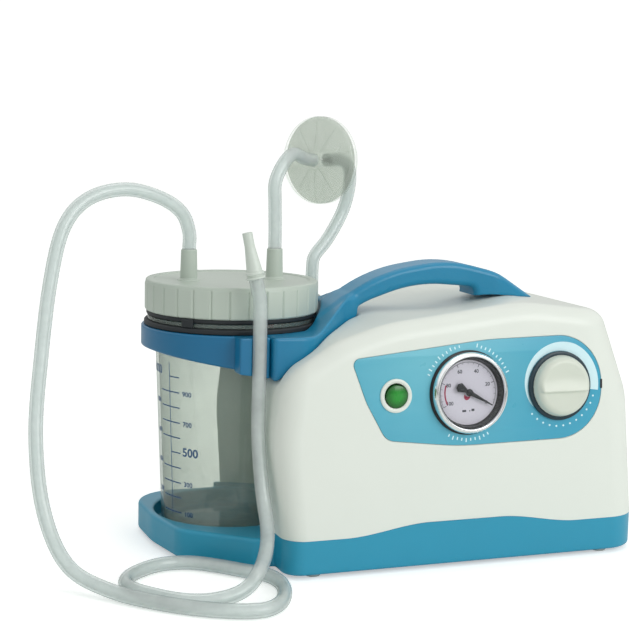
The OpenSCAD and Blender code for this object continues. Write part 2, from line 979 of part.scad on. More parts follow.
module pump_bracket() {
  placed() color("#a7abaf") difference() {
    union() {
      translate([-18, motor_y - 43, bracket_z]) cube([150, 86, 2]);
      for (x = [-10, 56]) translate([x, motor_y - 24, bracket_z]) cube([8, 48, 24]);
      for (s = [-1, 1]) translate([83, motor_y + s * 30 - 5, bracket_z]) cube([28, 10, 15]);
      translate([83, motor_y - 20, bracket_z]) cube([40, 40, 18]);
    }
    along_motor() disc(motor_r, -50, 76);
    for (p = damper_places) translate([p.x, p.y, 0]) disc(3, 0, 30);
  }
}

module rubber_dampers() {
  placed() color(rubber) for (p = damper_places) translate([p.x, p.y, 0]) {
    disc(7, 8, bracket_z);
    disc(3, bracket_z - eps, bracket_z + 3);
    disc(5, bracket_z + 2, bracket_z + 5);
  }
}

// ---------- Mains inlet ----------
drawer_z = -10;

module mains_inlet() {
  placed() color(dark) at_inlet() difference() {
    union() {
      translate([-25, 0, -17]) cube([50, 3, 34]);
      translate([-13.5, -18, -15]) cube([27, 18.1, 30]);
    }
    translate([-12, -13, -5]) cube([24, 20, 16.5]);
    translate([-11, -14, drawer_z - 3.2]) cube([22, 20, 6.4]);
    for (s = [-1, 1]) translate([s * inlet_pitch / 2, -5, 0]) rotate([-90, 0, 0]) cylinder(r = 1.7, h = 20);
  }
  placed() color(steel) at_inlet() {
    for (x = [-7, 0, 7]) translate([x - 1, -13.1, x == 0 ? 5 : 1]) cube([2, 12, 4]);
  }
}

module inlet_screws() {
  placed() color(steel) at_inlet() for (s = [-1, 1])
    translate([s * inlet_pitch / 2, 0, 0]) rotate([-90, 0, 0]) {
      disc(1.5, -9, 3.1);
      disc(3, 3, 4.8);
    }
}

module fuse_drawer() {
  placed() color("#33373b") at_inlet() translate([0, 0, drawer_z]) difference() {
    union() {
      translate([-10.9, -13.5, -3.1]) cube([21.8, 17, 6.2]);
      translate([-4, 3.4, -1]) cube([8, 1.4, 2]);
    }
    translate([-9.5, -12, -2.2]) cube([8.5, 12, 10]);
    translate([1, -12, -2.2]) cube([8.5, 12, 10]);
  }
}

// ---------- Collection jar ----------
module jar() {
  placed() color([0.85, 0.92, 0.95, 0.4]) at_jar() rotate_extrude() polygon(rounded([
    [0, jar_foot_z, 0],
    [jar_foot_r, jar_foot_z, 5],
    [jar_rim_r, jar_neck_z, 0],
    [jar_rim_r, flange_z, 0],
    [flange_r, flange_z, 0],
    [flange_r, flange_z + flange_h, 0],
    [jar_rim_r, flange_z + flange_h, 0],
    [jar_rim_r, 179, 0],
    [jar_rim_r + 1.6, 180.5, 0],
    [jar_rim_r, 182, 0],
    [jar_rim_r, jar_top_z, 0],
    [jar_rim_r - jar_wall, jar_top_z, 0],
    [jar_rim_r - jar_wall, jar_neck_z, 0],
    [jar_foot_r - jar_wall, jar_foot_z + jar_wall + 1, 4],
    [0, jar_foot_z + jar_wall + 1, 0]
  ]));
}

module lid() {
  placed() color(grey) at_jar() difference() {
    union() {
      rotate_extrude() polygon(rounded([
        [0, jar_top_z + gasket_h, 0],
        [lid_inner_r, jar_top_z + gasket_h, 0],
        [lid_inner_r, lid_bottom_z, 0],
        [lid_r, lid_bottom_z, 0],
        [lid_r, lid_top_z, 2.5],
        [0, lid_top_z, 0]
      ]));
      for (s = [-1, 1]) translate([s * port_offset, 0, 0]) disc(port_r, lid_top_z - 1, port_top_z);
      translate([port_offset, 0, 0]) disc(5, 184, jar_top_z + gasket_h + 1);
    }
    for (s = [-1, 1]) translate([s * port_offset, 0, 0]) {
      disc(tube_r, port_seat_z, port_top_z + 1);
      disc(2.5, 180, port_top_z);
    }
    for (i = [0 : lid_flats - 1]) rotate([0, 0, 360 * i / lid_flats])
      translate([lid_r + 0.3, 0, 0]) disc(1, lid_bottom_z - 1, lid_top_z - 4);
  }
}

// A seal on the jar's mouth, and one under the lid's skirt that closes down on the flange
skirt_seal_h = 3.2;

module lid_gasket() {
  placed() color(rubber) at_jar() {
    ring(jar_rim_r + 1, jar_rim_r - 4, jar_top_z, jar_top_z + gasket_h);
    ring(lid_r - 1, lid_inner_r - 2, lid_bottom_z - skirt_seal_h, lid_bottom_z);
  }
}

// Guide cage under the vacuum port and the float that rises to close it
cage_r = 10.5;

module at_float() {
  translate([jar_x + port_offset, jar_y, 0]) children();
}

module float_cage() {
  placed() color("#e8ece8") at_float() difference() {
    disc(cage_r, 142, jar_top_z + gasket_h);
    disc(9, 145, jar_top_z + gasket_h + 1);
    disc(3.6, 140, 150);
    for (a = [0 : 90 : 270]) rotate([0, 0, a + 45]) translate([0, -5, 150]) cube([20, 10, 32]);
  }
}

module float_valve() {
  placed() color(red) at_float() {
    disc(8.5, 152, 171);
    disc(3, 116, 153);
    disc(3, 170, 172);
  }
}

// ---------- Tubing outside the case ----------
cone_base = [-119, -49, 203.2];
cone_tip = [-125.5, -46.5, 237];
cone_axis = unit(cone_tip - cone_base);
tip_from = 24.5;

module patient_tube() {
  placed() color(clear_grey) hose([
    [jar_x - port_offset, jar_y, port_seat_z],
    [jar_x - port_offset, jar_y, 220],
    [jar_x - port_offset, jar_y, 231],
    [-152.5, 26, 246],
    [-170, 22, 257],
    [-196, 16, 263],
    [-224, 8, 257],
    [-243, 0, 238],
    [-254, -8, 200],
    [-262, -18, 150],
    [-268, -30, 100],
    [-266, -46, 52],
    [-254, -66, 18],
    [-232, -92, 7],
    [-206, -122, 5.4],
    [-176, -146, 5.4],
    [-148, -156, 5.4],
    [-130, -142, 5.4],
    [-126, -118, 6.5],
    [-132, -86, 13],
    [-150, -62, 15.6],
    [-178, -50, 12],
    [-206, -62, 6.5],
    [-214, -90, 5.4],
    [-196, -118, 15.4],
    [-166, -126, 11],
    [-140, -118, 6],
    [-122, -104, 6.5],
    [-117, -90, 16],
    [-118, -79, 34],
    [-118.2, -67, 60],
    [-118, -56, 95],
    [-116.3, -50.5, 130],
    [-116, -50, 150],
    [-116, -50, 172],
    cone_base - 14 * cone_axis,
    cone_base - 6.5 * cone_axis,
    cone_base + 1.8 * cone_axis
  ], tube_r, lumen_r, 2, 8);
}

module cone_connector() {
  axis = cone_tip - cone_base;
  tilt = acos(axis.z / norm(axis));
  heading = atan2(axis.y, axis.x);
  placed() color("#dfe5e0") translate(cone_base) rotate([0, tilt, heading]) difference() {
    union() {
      disc(lumen_r, -6, 2);
      disc(7, 1.9, 5);
      translate([0, 0, 4.9]) cylinder(r1 = 6, r2 = 3.6, h = tip_from - 4.9);
      disc(3.6, tip_from, norm(axis));
    }
    disc(1.8, -20, 50);
  }
}

module at_filter() {
  translate(filter_centre) rotate([0, 90, filter_turn]) children();
}

stub_end = 16;

module filter_half() {
  difference() {
    rotate_extrude() polygon([
      [0, 2.2], [filter_r - 4, 0.2], [filter_r, 0.2], [filter_r, 4], [filter_r - 3, 4.6],
      [7, 7], [lumen_r, 7], [lumen_r, stub_end], [0, stub_end]
    ]);
    disc(1.8, -1, stub_end + 1);
  }
}

module filter_front_shell() {
  placed() color(clear_grey) at_filter() filter_half();
}

module filter_back_shell() {
  placed() color(clear_grey) at_filter() mirror([0, 0, 1]) filter_half();
}

module filter_membrane() {
  placed() color("#f4f5f2") at_filter() disc(filter_r - 1, -0.2, 0.2);
}

filter_axis = [cos(filter_turn), sin(filter_turn), 0];

module filter_up_tube() {
  bend = filter_centre + 26 * filter_axis;
  placed() color(clear_grey) hose([
    [jar_x + port_offset, jar_y, port_seat_z],
    [jar_x + port_offset, jar_y, 220],
    [jar_x + port_offset, jar_y, 234],
    [jar_x + port_offset + 1, jar_y + 0.6, 255],
    [bend.x - 12, bend.y - 7.5, 275],
    bend,
    filter_centre + 17 * filter_axis,
    filter_centre + 8 * filter_axis
  ], tube_r, lumen_r, 4, 10);
}

module filter_down_tube() {
  bend = filter_centre - 26 * filter_axis;
  placed() color(clear_grey) hose([
    filter_centre - 8 * filter_axis,
    filter_centre - 17 * filter_axis,
    bend,
    [bend.x + 9, bend.y + 5, 278],
    [bend.x + 10, bend.y + 5, 264],
    [-8, 75, 244],
    [-22, 70.5, 222],
    [nozzle_x + 2, nozzle_y + 1, 209],
    [nozzle_x, nozzle_y, 198],
    [nozzle_x, nozzle_y, 189.5],
    [nozzle_x, nozzle_y, 179.2]
  ], tube_r, lumen_r, 4, 10);
}

base_tray();
housing();
handle_ring();
ring_cushion();
tube_clip();
control_panel();
rubber_feet();
base_screws();
switch_bezel();
switch_body();
rocker();
gauge_bezel();
gauge_case();
gauge_dial();
gauge_glass();
gauge_movement();
gauge_needle();
regulator_valve();
valve_nut();
regulator_spindle();
knob_skirt();
regulator_knob();
inlet_nozzle();
suction_hose();
gauge_hose();
silencer();
motor_can();
motor_end_caps();
motor_bearings();
stator_core();
stator_coils();
motor_shaft();
rotor_core();
cooling_fan();
crank();
crankcase();
pump_cylinder();
valve_plate();
cylinder_head();
head_screws();
connecting_rod();
piston_cup();
pump_bracket();
rubber_dampers();
mains_inlet();
inlet_screws();
fuse_drawer();
jar();
lid();
lid_gasket();
float_cage();
float_valve();
patient_tube();
cone_connector();
filter_up_tube();
filter_front_shell();
filter_back_shell();
filter_membrane();
filter_down_tube();
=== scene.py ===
"""Portable suction pump: the looks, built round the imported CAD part.

Lengths are in millimetres in the case's own axes and become metres in the row frame when a mesh is made.
"""
import json
import math

import bmesh
import bpy
import numpy as np
from mathutils import Matrix, Vector


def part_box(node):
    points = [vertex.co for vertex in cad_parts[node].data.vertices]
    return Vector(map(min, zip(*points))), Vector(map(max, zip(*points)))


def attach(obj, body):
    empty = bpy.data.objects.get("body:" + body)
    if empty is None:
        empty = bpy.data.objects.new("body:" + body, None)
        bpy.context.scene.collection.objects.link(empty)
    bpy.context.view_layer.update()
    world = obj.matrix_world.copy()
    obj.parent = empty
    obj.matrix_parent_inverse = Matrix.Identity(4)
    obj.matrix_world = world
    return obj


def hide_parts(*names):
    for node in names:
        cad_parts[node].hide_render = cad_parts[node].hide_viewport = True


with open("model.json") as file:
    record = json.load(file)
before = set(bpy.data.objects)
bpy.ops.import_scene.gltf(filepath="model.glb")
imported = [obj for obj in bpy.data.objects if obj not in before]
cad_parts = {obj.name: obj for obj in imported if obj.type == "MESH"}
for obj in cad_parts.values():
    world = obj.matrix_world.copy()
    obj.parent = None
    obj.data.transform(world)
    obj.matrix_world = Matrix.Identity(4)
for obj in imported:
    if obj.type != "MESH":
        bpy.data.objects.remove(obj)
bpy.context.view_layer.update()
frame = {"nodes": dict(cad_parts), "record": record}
MM = 0.001
scene = bpy.context.scene


# ------------------------ places taken from the CAD
def middle(node):
    lo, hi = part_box(node)
    return (lo + hi) / 2 / MM


JX, JY = -113.0, 28.0  # the jar's axis
SHIFT = Vector((middle("jar").x - JX, middle("jar").y - JY, 0))


def in_row(point):
    """A point of the case's axes in the row frame, in metres."""
    return (Vector(point) + SHIFT) * MM


def mid(node):
    return middle(node) - SHIFT


def low(node):
    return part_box(node)[0] / MM - SHIFT


def high(node):
    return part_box(node)[1] / MM - SHIFT


LEFT, RIGHT = -113.0, high("housing").x
HALF = 90.0  # half the case's depth
LEAN, LEAN_Z = math.radians(5), 30.0  # the front leans back from this height up
SEAM, WAVE = 27.5, 7.0  # lowest height of the seam, and how far its wave rises
WALL, TRAY_RIM = 2.6, 24
SWITCH = (mid("rocker").x, 125.0)
GAUGE = (mid("gauge_bezel").x, 125.0)
KNOB = (mid("regulator_knob").x, 127.0)
PANEL_HOLES = ((SWITCH, 10.2), (GAUGE, 27.2), (KNOB, 6.2))
FEET = [(x, y) for x in (low("rubber_feet").x + 5.5, high("rubber_feet").x - 5.5) for y in (-79, 79)]
NOZZLE = mid("inlet_nozzle")
FILTER = mid("filter_membrane")
PORT = 33.0  # from the jar's axis to each hose socket
HOSE_R, HOSE_BORE = 5.0, 3.3


def about(x, y):
    """Local frame on an upright axis at (x, y)."""
    return Matrix.Translation((x, y, 0))


AT_JAR = about(JX, JY)
PORTS = (about(JX - PORT, JY), about(JX + PORT, JY))


def up_face(z):
    """Distance up the leaning face at height z."""
    return (z - LEAN_Z) / math.cos(LEAN)


def on_front(x, z):
    """Local frame on the leaning front face: x to the right, y up the face, z outwards."""
    return (Matrix.Translation((x, -HALF, LEAN_Z)) @ Matrix.Rotation(math.pi / 2 - LEAN, 4, "X")
            @ Matrix.Translation((0, up_face(z), 0)))


# ------------------------ outlines and distance fields
def rounded(points, step=4.0):
    """A closed outline of [x, y, corner radius] points with its corners drawn as arcs."""
    out, n = [], len(points)
    for i in range(n):
        a, b, c = (np.array(points[j % n][:2], float) for j in (i - 1, i, i + 1))
        r = points[i][2] if len(points[i]) > 2 else 0
        d, e = b - a, c - b
        la, lb = np.linalg.norm(d), np.linalg.norm(e)
        d, e = d / la, e / lb
        turn = math.atan2(d[0] * e[1] - d[1] * e[0], d @ e)
        cut = min(r * math.tan(abs(turn) / 2), 0.499 * la, 0.499 * lb)
        if cut < 1e-6:
            out.append(b)
            continue
        r = cut / math.tan(abs(turn) / 2)
        start = b - d * cut
        centre = start + np.array([-d[1], d[0]]) * r * math.copysign(1, turn)
        k = max(2, math.ceil(abs(turn) / math.radians(step)))
        v = start - centre
        for j in range(k + 1):
            t = turn * j / k
            out.append(centre + np.array([v[0] * math.cos(t) - v[1] * math.sin(t),
                                          v[0] * math.sin(t) + v[1] * math.cos(t)]))
    return np.array(out)


def poly(points, step=4.0):
    """Signed distance to a rounded outline, negative inside."""
    p = rounded(points, step)
    q = np.roll(p, -1, 0)

    def field(u, v):
        u, v = np.broadcast_arrays(u, v)
        d2 = np.full(u.shape, 1e12, u.dtype)
        inside = np.zeros(u.shape, bool)
        for (ax, ay), (bx, by) in zip(p.tolist(), q.tolist()):
            ex, ey = bx - ax, by - ay
            if ex * ex + ey * ey < 1e-12:
                continue
            wx, wy = u - ax, v - ay
            t = np.clip((wx * ex + wy * ey) / (ex * ex + ey * ey), 0, 1)
            d2 = np.minimum(d2, (wx - t * ex) ** 2 + (wy - t * ey) ** 2)
            if abs(ey) > 1e-12:
                inside ^= ((ay <= v) != (by <= v)) & (wx < wy * (ex / ey))
        return np.where(inside, -1, 1) * np.sqrt(d2)
    return field


def both(a, b, r=0.0):
    """Intersection of two fields with the edge between them rounded to r."""
    if np.isscalar(r) and r == 0:
        return np.maximum(a, b)
    return np.minimum(-r, np.maximum(a, b)) + np.hypot(np.maximum(a + r, 0), np.maximum(b + r, 0))


def join(a, b, r=0.0):
    return -both(-a, -b, r)


def less(a, b, r=0.0):
    return both(a, -b, r)


def step_up(v, a, b):
    t = np.clip((v - a) / (b - a), 0, 1)
    return t * t * (3 - 2 * t)


def net(field, lo, hi, step):
    """A closed quad mesh on the zero surface of field(x, y, z), all in millimetres."""
    lo = np.array(lo, float)
    n = np.ceil((np.array(hi, float) - lo) / step).astype(int) + 1
    axes = [(lo[i] + step * np.arange(n[i])).astype(np.float32) for i in range(3)]
    v = field(axes[0][:, None, None], axes[1][None, :, None], axes[2][None, None, :])
    v = np.ascontiguousarray(np.broadcast_to(v, tuple(n)))
    s = v < 0
    m = n - 1
    quads, points = [], []
    for a in range(3):
        b, c = (a + 1) % 3, (a + 2) % 3
        s0, s1 = [slice(None)] * 3, [slice(None)] * 3
        s0[a], s1[a] = slice(0, -1), slice(1, None)
        idx = np.argwhere(s[tuple(s0)] != s[tuple(s1)])
        nxt = idx.copy()
        nxt[:, a] += 1
        v0, v1 = v[tuple(idx.T)].astype(float), v[tuple(nxt.T)].astype(float)
        p = idx.astype(float)
        p[:, a] += v0 / (v0 - v1)
        four = []
        for db, dc in ((-1, -1), (0, -1), (0, 0), (-1, 0)):
            q = idx.copy()
            q[:, b] += db
            q[:, c] += dc
            four.append((q[:, 0] * m[1] + q[:, 1]) * m[2] + q[:, 2])
        four = np.stack(four, 1)
        out = v0 > 0
        four[out] = four[out][:, ::-1]
        quads.append(four)
        points.append(p)
    quads, points = np.concatenate(quads), np.concatenate(points)
    inv = np.unique(quads.ravel(), return_inverse=True)[1].ravel()
    count = np.bincount(inv)
    co = np.stack([np.bincount(inv, weights=np.repeat(points[:, k], 4)) / count for k in range(3)], 1)
    co = lo + co * step
    h = step * 0.05
    d = field(*co.T)
    g = np.stack([(field(*(co + h * e).T) - d) / h for e in np.eye(3)], 1)
    move = g * (d / np.maximum((g * g).sum(1), 0.2))[:, None]
    far = np.linalg.norm(move, axis=1)[:, None]
    co = co - move * np.minimum(1, 0.6 * step / np.maximum(far, 1e-9))
    return co, inv.reshape(-1, 4)


# ------------------------ meshes
def mesh(name, verts, faces, matrix=None, sharp=40):
    """A mesh object from millimetre vertices."""
    verts = np.asarray(verts, float)
    if matrix is not None:
        m = np.array(matrix)
        verts = verts @ m[:3, :3].T + m[:3, 3]
    verts = verts + np.array(SHIFT)
    me = bpy.data.meshes.new(name)
    me.from_pydata((verts * MM).tolist(), [], [list(f) for f in faces])
    o = bpy.data.objects.new(name, me)
    scene.collection.objects.link(o)
    finish_mesh(o, sharp)
    return o


def finish_mesh(o, sharp=40):
    me = o.data
    bm = bmesh.new()
    bm.from_mesh(me)
    bmesh.ops.remove_doubles(bm, verts=bm.verts, dist=1e-7)
    bmesh.ops.dissolve_degenerate(bm, edges=bm.edges, dist=1e-7)
    bmesh.ops.recalc_face_normals(bm, faces=bm.faces)
    bm.to_mesh(me)
    bm.free()
    smooth(o, sharp)


def smooth(o, sharp):
    """Smooth shading that breaks at edges sharper than the given angle."""
    o.data.polygons.foreach_set("use_smooth", [True] * len(o.data.polygons))
    o.data.set_sharp_from_angle(angle=math.radians(sharp))


def baked(o):
    """The object's modifiers applied."""
    bpy.context.view_layer.update()
    dg = bpy.context.evaluated_depsgraph_get()
    me = bpy.data.meshes.new_from_object(o.evaluated_get(dg))
    o.modifiers.clear()
    o.data = me
    return o


def combine(o, others, how="DIFFERENCE", sharp=35):
    """Cuts the other meshes from o, or adds them to it, and removes them."""
    for other in others:
        m = o.modifiers.new("cut", "BOOLEAN")
        m.operation, m.solver, m.object = how, "MANIFOLD", other
    baked(o)
    for other in others:
        bpy.data.objects.remove(other)
    smooth(o, sharp)
    return o


def edge_bevel(o, width, segments, angle):
    """A bevel modifier on the edges sharper than the given angle."""
    m = o.modifiers.new("edges", "BEVEL")
    m.width, m.segments, m.limit_method, m.angle_limit = width * MM, segments, "ANGLE", math.radians(angle)


def lathe(profile, n=128, wave=None):
    """Turns the closed outline of [r, z] points about Z. wave(angle, r, z) may change the radius."""
    verts, faces, rings = [], [], []
    for r, z in profile:
        if r < 1e-9:
            rings.append([len(verts)])
            verts.append((0, 0, z))
        else:
            rings.append(list(range(len(verts), len(verts) + n)))
            for k in range(n):
                a = 2 * math.pi * k / n
                rr = wave(a, r, z) if wave else r
                verts.append((rr * math.cos(a), rr * math.sin(a), z))
    for a, b in zip(rings, rings[1:] + rings[:1]):
        if len(a) == 1 and len(b) == 1:
            continue
        for k in range(n):
            j = (k + 1) % n
            if len(a) == 1:
                faces.append((a[0], b[j], b[k]))
            elif len(b) == 1:
                faces.append((a[k], a[j], b[0]))
            else:
                faces.append((a[k], a[j], b[j], b[k]))
    return verts, faces


def turned(name, points, matrix=None, n=128, step=8, wave=None, sharp=40):
    """A turned solid from a closed outline of [r, z, corner radius] points."""
    return mesh(name, *lathe(rounded(points, step), n, wave), matrix=matrix, sharp=sharp)


def prism(outline, z1, z2):
    """Vertices and faces of an upright prism."""
    n = len(outline)
    verts = [(x, y, z1) for x, y in outline] + [(x, y, z2) for x, y in outline]
    faces = [list(range(n))[::-1], list(range(n, 2 * n))]
    faces += [(i, (i + 1) % n, n + (i + 1) % n, n + i) for i in range(n)]
    return verts, faces


def block(name, lo, hi, matrix=None, edge=0.0):
    """A box between two corners, with its edges rounded by edge."""
    corners = [(lo[0], lo[1]), (hi[0], lo[1]), (hi[0], hi[1]), (lo[0], hi[1])]
    o = mesh(name, *prism(corners, lo[2], hi[2]), matrix=matrix)
    if edge:
        edge_bevel(o, edge, 3, 30)
        smooth(baked(o), 40)
    return o


def ring_line(r, n=96, cx=0.0, cy=0.0):
    """The n points of a circle."""
    turns = [2 * math.pi * k / n for k in range(n)]
    return [(cx + r * math.cos(a), cy + r * math.sin(a)) for a in turns]


def rod(name, r, z1, z2, matrix=None, n=64):
    return mesh(name, *prism(ring_line(r, n), z1, z2), matrix=matrix)


def curve_path(points, per=10):
    """A Catmull-Rom curve through the points, with so many steps between them."""
    p = [np.array(q, float) for q in points]
    out = []
    for i in range(len(p) - 1):
        a, b, c, d = p[max(i - 1, 0)], p[i], p[i + 1], p[min(i + 2, len(p) - 1)]
        for k in range(per):
            t = k / per
            out.append(0.5 * (2 * b + (c - a) * t + (2 * a - 5 * b + 4 * c - d) * t * t
                              + (3 * b - 3 * c + d - a) * t ** 3))
    out.append(p[-1])
    return np.array(out)


def tube(name, points, sides=28):
    """A hollow hose swept along the points."""
    path = curve_path(points)
    for _ in range(4):
        path[1:-1] = 0.25 * path[:-2] + 0.5 * path[1:-1] + 0.25 * path[2:]
    t = np.gradient(path, axis=0)
    t /= np.linalg.norm(t, axis=1)[:, None]
    u = np.cross(t[0], [0.6, -0.5, 0.6])
    u /= np.linalg.norm(u)
    verts = []
    angles = 2 * np.pi * np.arange(sides) / sides
    frames = []
    for i in range(len(path)):
        u = u - t[i] * (u @ t[i])
        u /= np.linalg.norm(u)
        frames.append((path[i], u.copy(), np.cross(t[i], u)))
    for rad in (HOSE_R, HOSE_BORE):
        for c, a, b in frames:
            for w in angles:
                verts.append(c + rad * (a * math.cos(w) + b * math.sin(w)))
    n, faces = len(path), []
    far = n * sides
    for i in range(n - 1):
        for k in range(sides):
            j = (k + 1) % sides
            faces.append((i * sides + k, i * sides + j, (i + 1) * sides + j, (i + 1) * sides + k))
            faces.append((far + i * sides + j, far + i * sides + k,
                          far + (i + 1) * sides + k, far + (i + 1) * sides + j))
    for k in range(sides):
        j = (k + 1) % sides
        faces.append((far + k, far + j, j, k))
        e = (n - 1) * sides
        faces.append((e + k, e + j, far + e + j, far + e + k))
    return mesh(name, verts, faces, sharp=60)


def flat(name, outlines, z1, z2, edge, matrix):
    """A plate from outlines (the holes too), thick from z1 to z2, with rounded rims."""
    cu = bpy.data.curves.new(name, "CURVE")
    cu.dimensions, cu.fill_mode = "2D", "BOTH"
    cu.extrude = ((z2 - z1) / 2 - edge) * MM
    cu.bevel_depth, cu.bevel_resolution, cu.offset = edge * MM, 3, -edge * MM
    for line in outlines:
        sp = cu.splines.new("POLY")
        sp.points.add(len(line) - 1)
        for pt, (x, y) in zip(sp.points, line):
            pt.co = (x * MM, y * MM, 0, 1)
        sp.use_cyclic_u = True
    o = bpy.data.objects.new(name + "_c", cu)
    scene.collection.objects.link(o)
    bpy.context.view_layer.update()
    me = bpy.data.meshes.new_from_object(o.evaluated_get(bpy.context.evaluated_depsgraph_get()))
    bpy.data.objects.remove(o)
    me.transform(Matrix.Translation((0, 0, (z1 + z2) / 2 * MM)))
    me.name = name
    done = bpy.data.objects.new(name, me)
    scene.collection.objects.link(done)
    to_row = Matrix.Translation(SHIFT) @ matrix
    to_row.translation *= MM
    me.transform(to_row)
    finish_mesh(done)
    return done


def together(name, objects):
    """One mesh object out of several."""
    bm = bmesh.new()
    for o in objects:
        bm.from_mesh(o.data)
        bpy.data.objects.remove(o)
    me = bpy.data.meshes.new(name)
    bm.to_mesh(me)
    bm.free()
    me.set_sharp_from_angle(angle=math.radians(40))
    done = bpy.data.objects.new(name, me)
    scene.collection.objects.link(done)
    return done


# ------------------------ printed marks
INK = 0.05  # thickness of a printed mark


def strip(verts, cuts):
    """A printed strip from its sections of four points each."""
    faces = []
    for k in range(0, 4 * cuts, 4):
        faces += [(k + j, k + (j + 1) % 4, k + 4 + (j + 1) % 4, k + 4 + j) for j in range(4)]
    last = 4 * cuts
    return np.array(verts), faces + [(3, 2, 1, 0), (last, last + 1, last + 2, last + 3)]


def bar(a, b, width, cuts=1):
    """A thin printed line from a to b, in the flat."""
    a, b = np.array(a, float), np.array(b, float)
    side = np.array([a[1] - b[1], b[0] - a[0]])
    side *= width / 2 / np.linalg.norm(side)
    verts = []
    for i in range(cuts + 1):
        c = a + (b - a) * i / cuts
        verts += [(*(c - side), 0), (*(c + side), 0), (*(c + side), INK), (*(c - side), INK)]
    return strip(verts, cuts)


def wedge(turn_a, turn_b, r_in, r_out, n=60):
    """A printed band from turn_a to turn_b in degrees, whose radii are functions of the share."""
    verts = []
    for i in range(n + 1):
        t = i / n
        a = math.radians(turn_a + (turn_b - turn_a) * t)
        for r, z in ((r_in(t), 0), (r_out(t), 0), (r_out(t), INK), (r_in(t), INK)):
            verts.append((r * math.cos(a), r * math.sin(a), z))
    return strip(verts, n)


def polar(degrees, r):
    return r * math.cos(math.radians(degrees)), r * math.sin(math.radians(degrees))


def spoke(degrees, r_a, r_b, width):
    """A printed line along a radius."""
    return bar(polar(degrees, r_a), polar(degrees, r_b), width)


def dot(x, y, r=0.75):
    verts, faces = prism(ring_line(r, 16, x, y), 0, INK)
    return np.array(verts), faces


def numeral(text, x, y, height):
    """A number in the flat, centred on (x, y)."""
    cu = bpy.data.curves.new("numeral", "FONT")
    cu.body, cu.size, cu.extrude, cu.resolution_u = text, height / 0.7, INK / 2, 3
    cu.align_x, cu.align_y = "CENTER", "CENTER"
    cu.offset = height * 0.03
    o = bpy.data.objects.new("numeral", cu)
    scene.collection.objects.link(o)
    bpy.context.view_layer.update()
    me = bpy.data.meshes.new_from_object(o.evaluated_get(bpy.context.evaluated_depsgraph_get()))
    bpy.data.objects.remove(o)
    verts = np.array([v.co for v in me.vertices]) + [x, y, INK / 2]
    return verts, [tuple(p.vertices) for p in me.polygons]


def printed(name, marks, place=None, matrix=None):
    """The marks as one mesh, bent to a surface by place(points)."""
    verts, faces = [], []
    for v, f in marks:
        n = sum(len(w) for w in verts)
        verts.append(v)
        faces += [[i + n for i in face] for face in f]
    verts = np.concatenate(verts)
    return mesh(name, place(verts) if place else verts, faces, matrix, 30)


# ------------------------ materials
def linear(hex_colour):
    c = [int(hex_colour[i:i + 2], 16) / 255 for i in (1, 3, 5)]
    return [x / 12.92 if x <= 0.04045 else ((x + 0.055) / 1.055) ** 2.4 for x in c] + [1.0]


def shaded(colour, share):
    return [min(1.0, c * share) for c in colour[:3]] + [1.0]


class Nodes:
    """A node tree under construction."""

    def __init__(self, tree):
        self.tree = tree

    def add(self, kind, **values):
        node = self.tree.nodes.new("ShaderNode" + kind)
        for key, value in values.items():
            if hasattr(node, key):
                setattr(node, key, value)
            else:
                self.put(value, node.inputs[key.replace("_", " ")])
        return node

    def put(self, value, socket):
        if isinstance(value, bpy.types.NodeSocket):
            self.tree.links.new(value, socket)
        else:
            socket.default_value = value

    def noise(self, vector, scale, detail):
        return self.add("TexNoise", Vector=vector, Scale=scale, Detail=detail).outputs["Fac"]

    def math(self, operation, a, b):
        node = self.add("Math", operation=operation)
        self.put(a, node.inputs[0])
        self.put(b, node.inputs[1])
        return node.outputs[0]

    def mix(self, share, a, b):
        node = self.add("Mix", data_type="RGBA")
        self.put(share, node.inputs[0])
        self.put(a, node.inputs[6])
        self.put(b, node.inputs[7])
        return node.outputs[2]

    def blend(self, share, a, b):
        node = self.add("MixShader")
        for value, socket in zip((share, a, b), node.inputs):
            self.put(value, socket)
        return node.outputs["Shader"]

    def span(self, value, a, b, to_a=0.0, to_b=1.0):
        node = self.add("MapRange", Value=value)
        for key, v in (("From Min", a), ("From Max", b), ("To Min", to_a), ("To Max", to_b)):
            node.inputs[key].default_value = v
        return node.outputs["Result"]


def new_material(name):
    m = bpy.data.materials.new(name)
    m.use_nodes = True
    m.node_tree.nodes.clear()
    t = Nodes(m.node_tree)
    return m, t, t.add("TexCoord").outputs["Object"], t.add("OutputMaterial")


def finish(t, place, colour, rough, metal, vary, patch, grain, bump, coat, streak=None, spot=None):
    """A Principled surface: cloudy colour, uneven gloss and a moulded or brushed grain.

    spot is (centre, near, far, edge): the colour turns to edge between two distances from the centre.
    """
    base = linear(colour)
    tint = t.mix(t.noise(place, patch, 4), shaded(base, 1 - vary), shaded(base, 1 + vary))
    if spot:
        centre, near, far, edge = spot
        away = t.add("VectorMath", operation="DISTANCE")
        t.put(place, away.inputs[0])
        t.put(centre, away.inputs[1])
        tint = t.mix(t.span(away.outputs["Value"], near * MM, far * MM), tint, linear(edge))
    fine = place
    if streak:
        fine = t.add("Mapping", Vector=place, Scale=streak).outputs["Vector"]
    relief = t.add("Bump", Strength=bump, Distance=2e-5, Height=t.noise(fine, grain, 2))
    gloss = t.span(t.noise(place, patch * 4, 3), 0, 1, max(0.02, rough - 0.06), rough + 0.06)
    surface = t.add("BsdfPrincipled", Base_Color=tint, Roughness=gloss, Metallic=metal, Coat_Weight=coat,
                    Coat_Roughness=0.08, Normal=relief.outputs["Normal"])
    return surface.outputs["BSDF"]


def material(name, colour, rough=0.4, metal=0.0, vary=0.03, patch=25.0, grain=1500.0, bump=0.3, coat=0.0,
             streak=None, spot=None):
    m, t, place, out = new_material(name)
    t.put(finish(t, place, colour, rough, metal, vary, patch, grain, bump, coat, streak, spot), out.inputs[0])
    return m


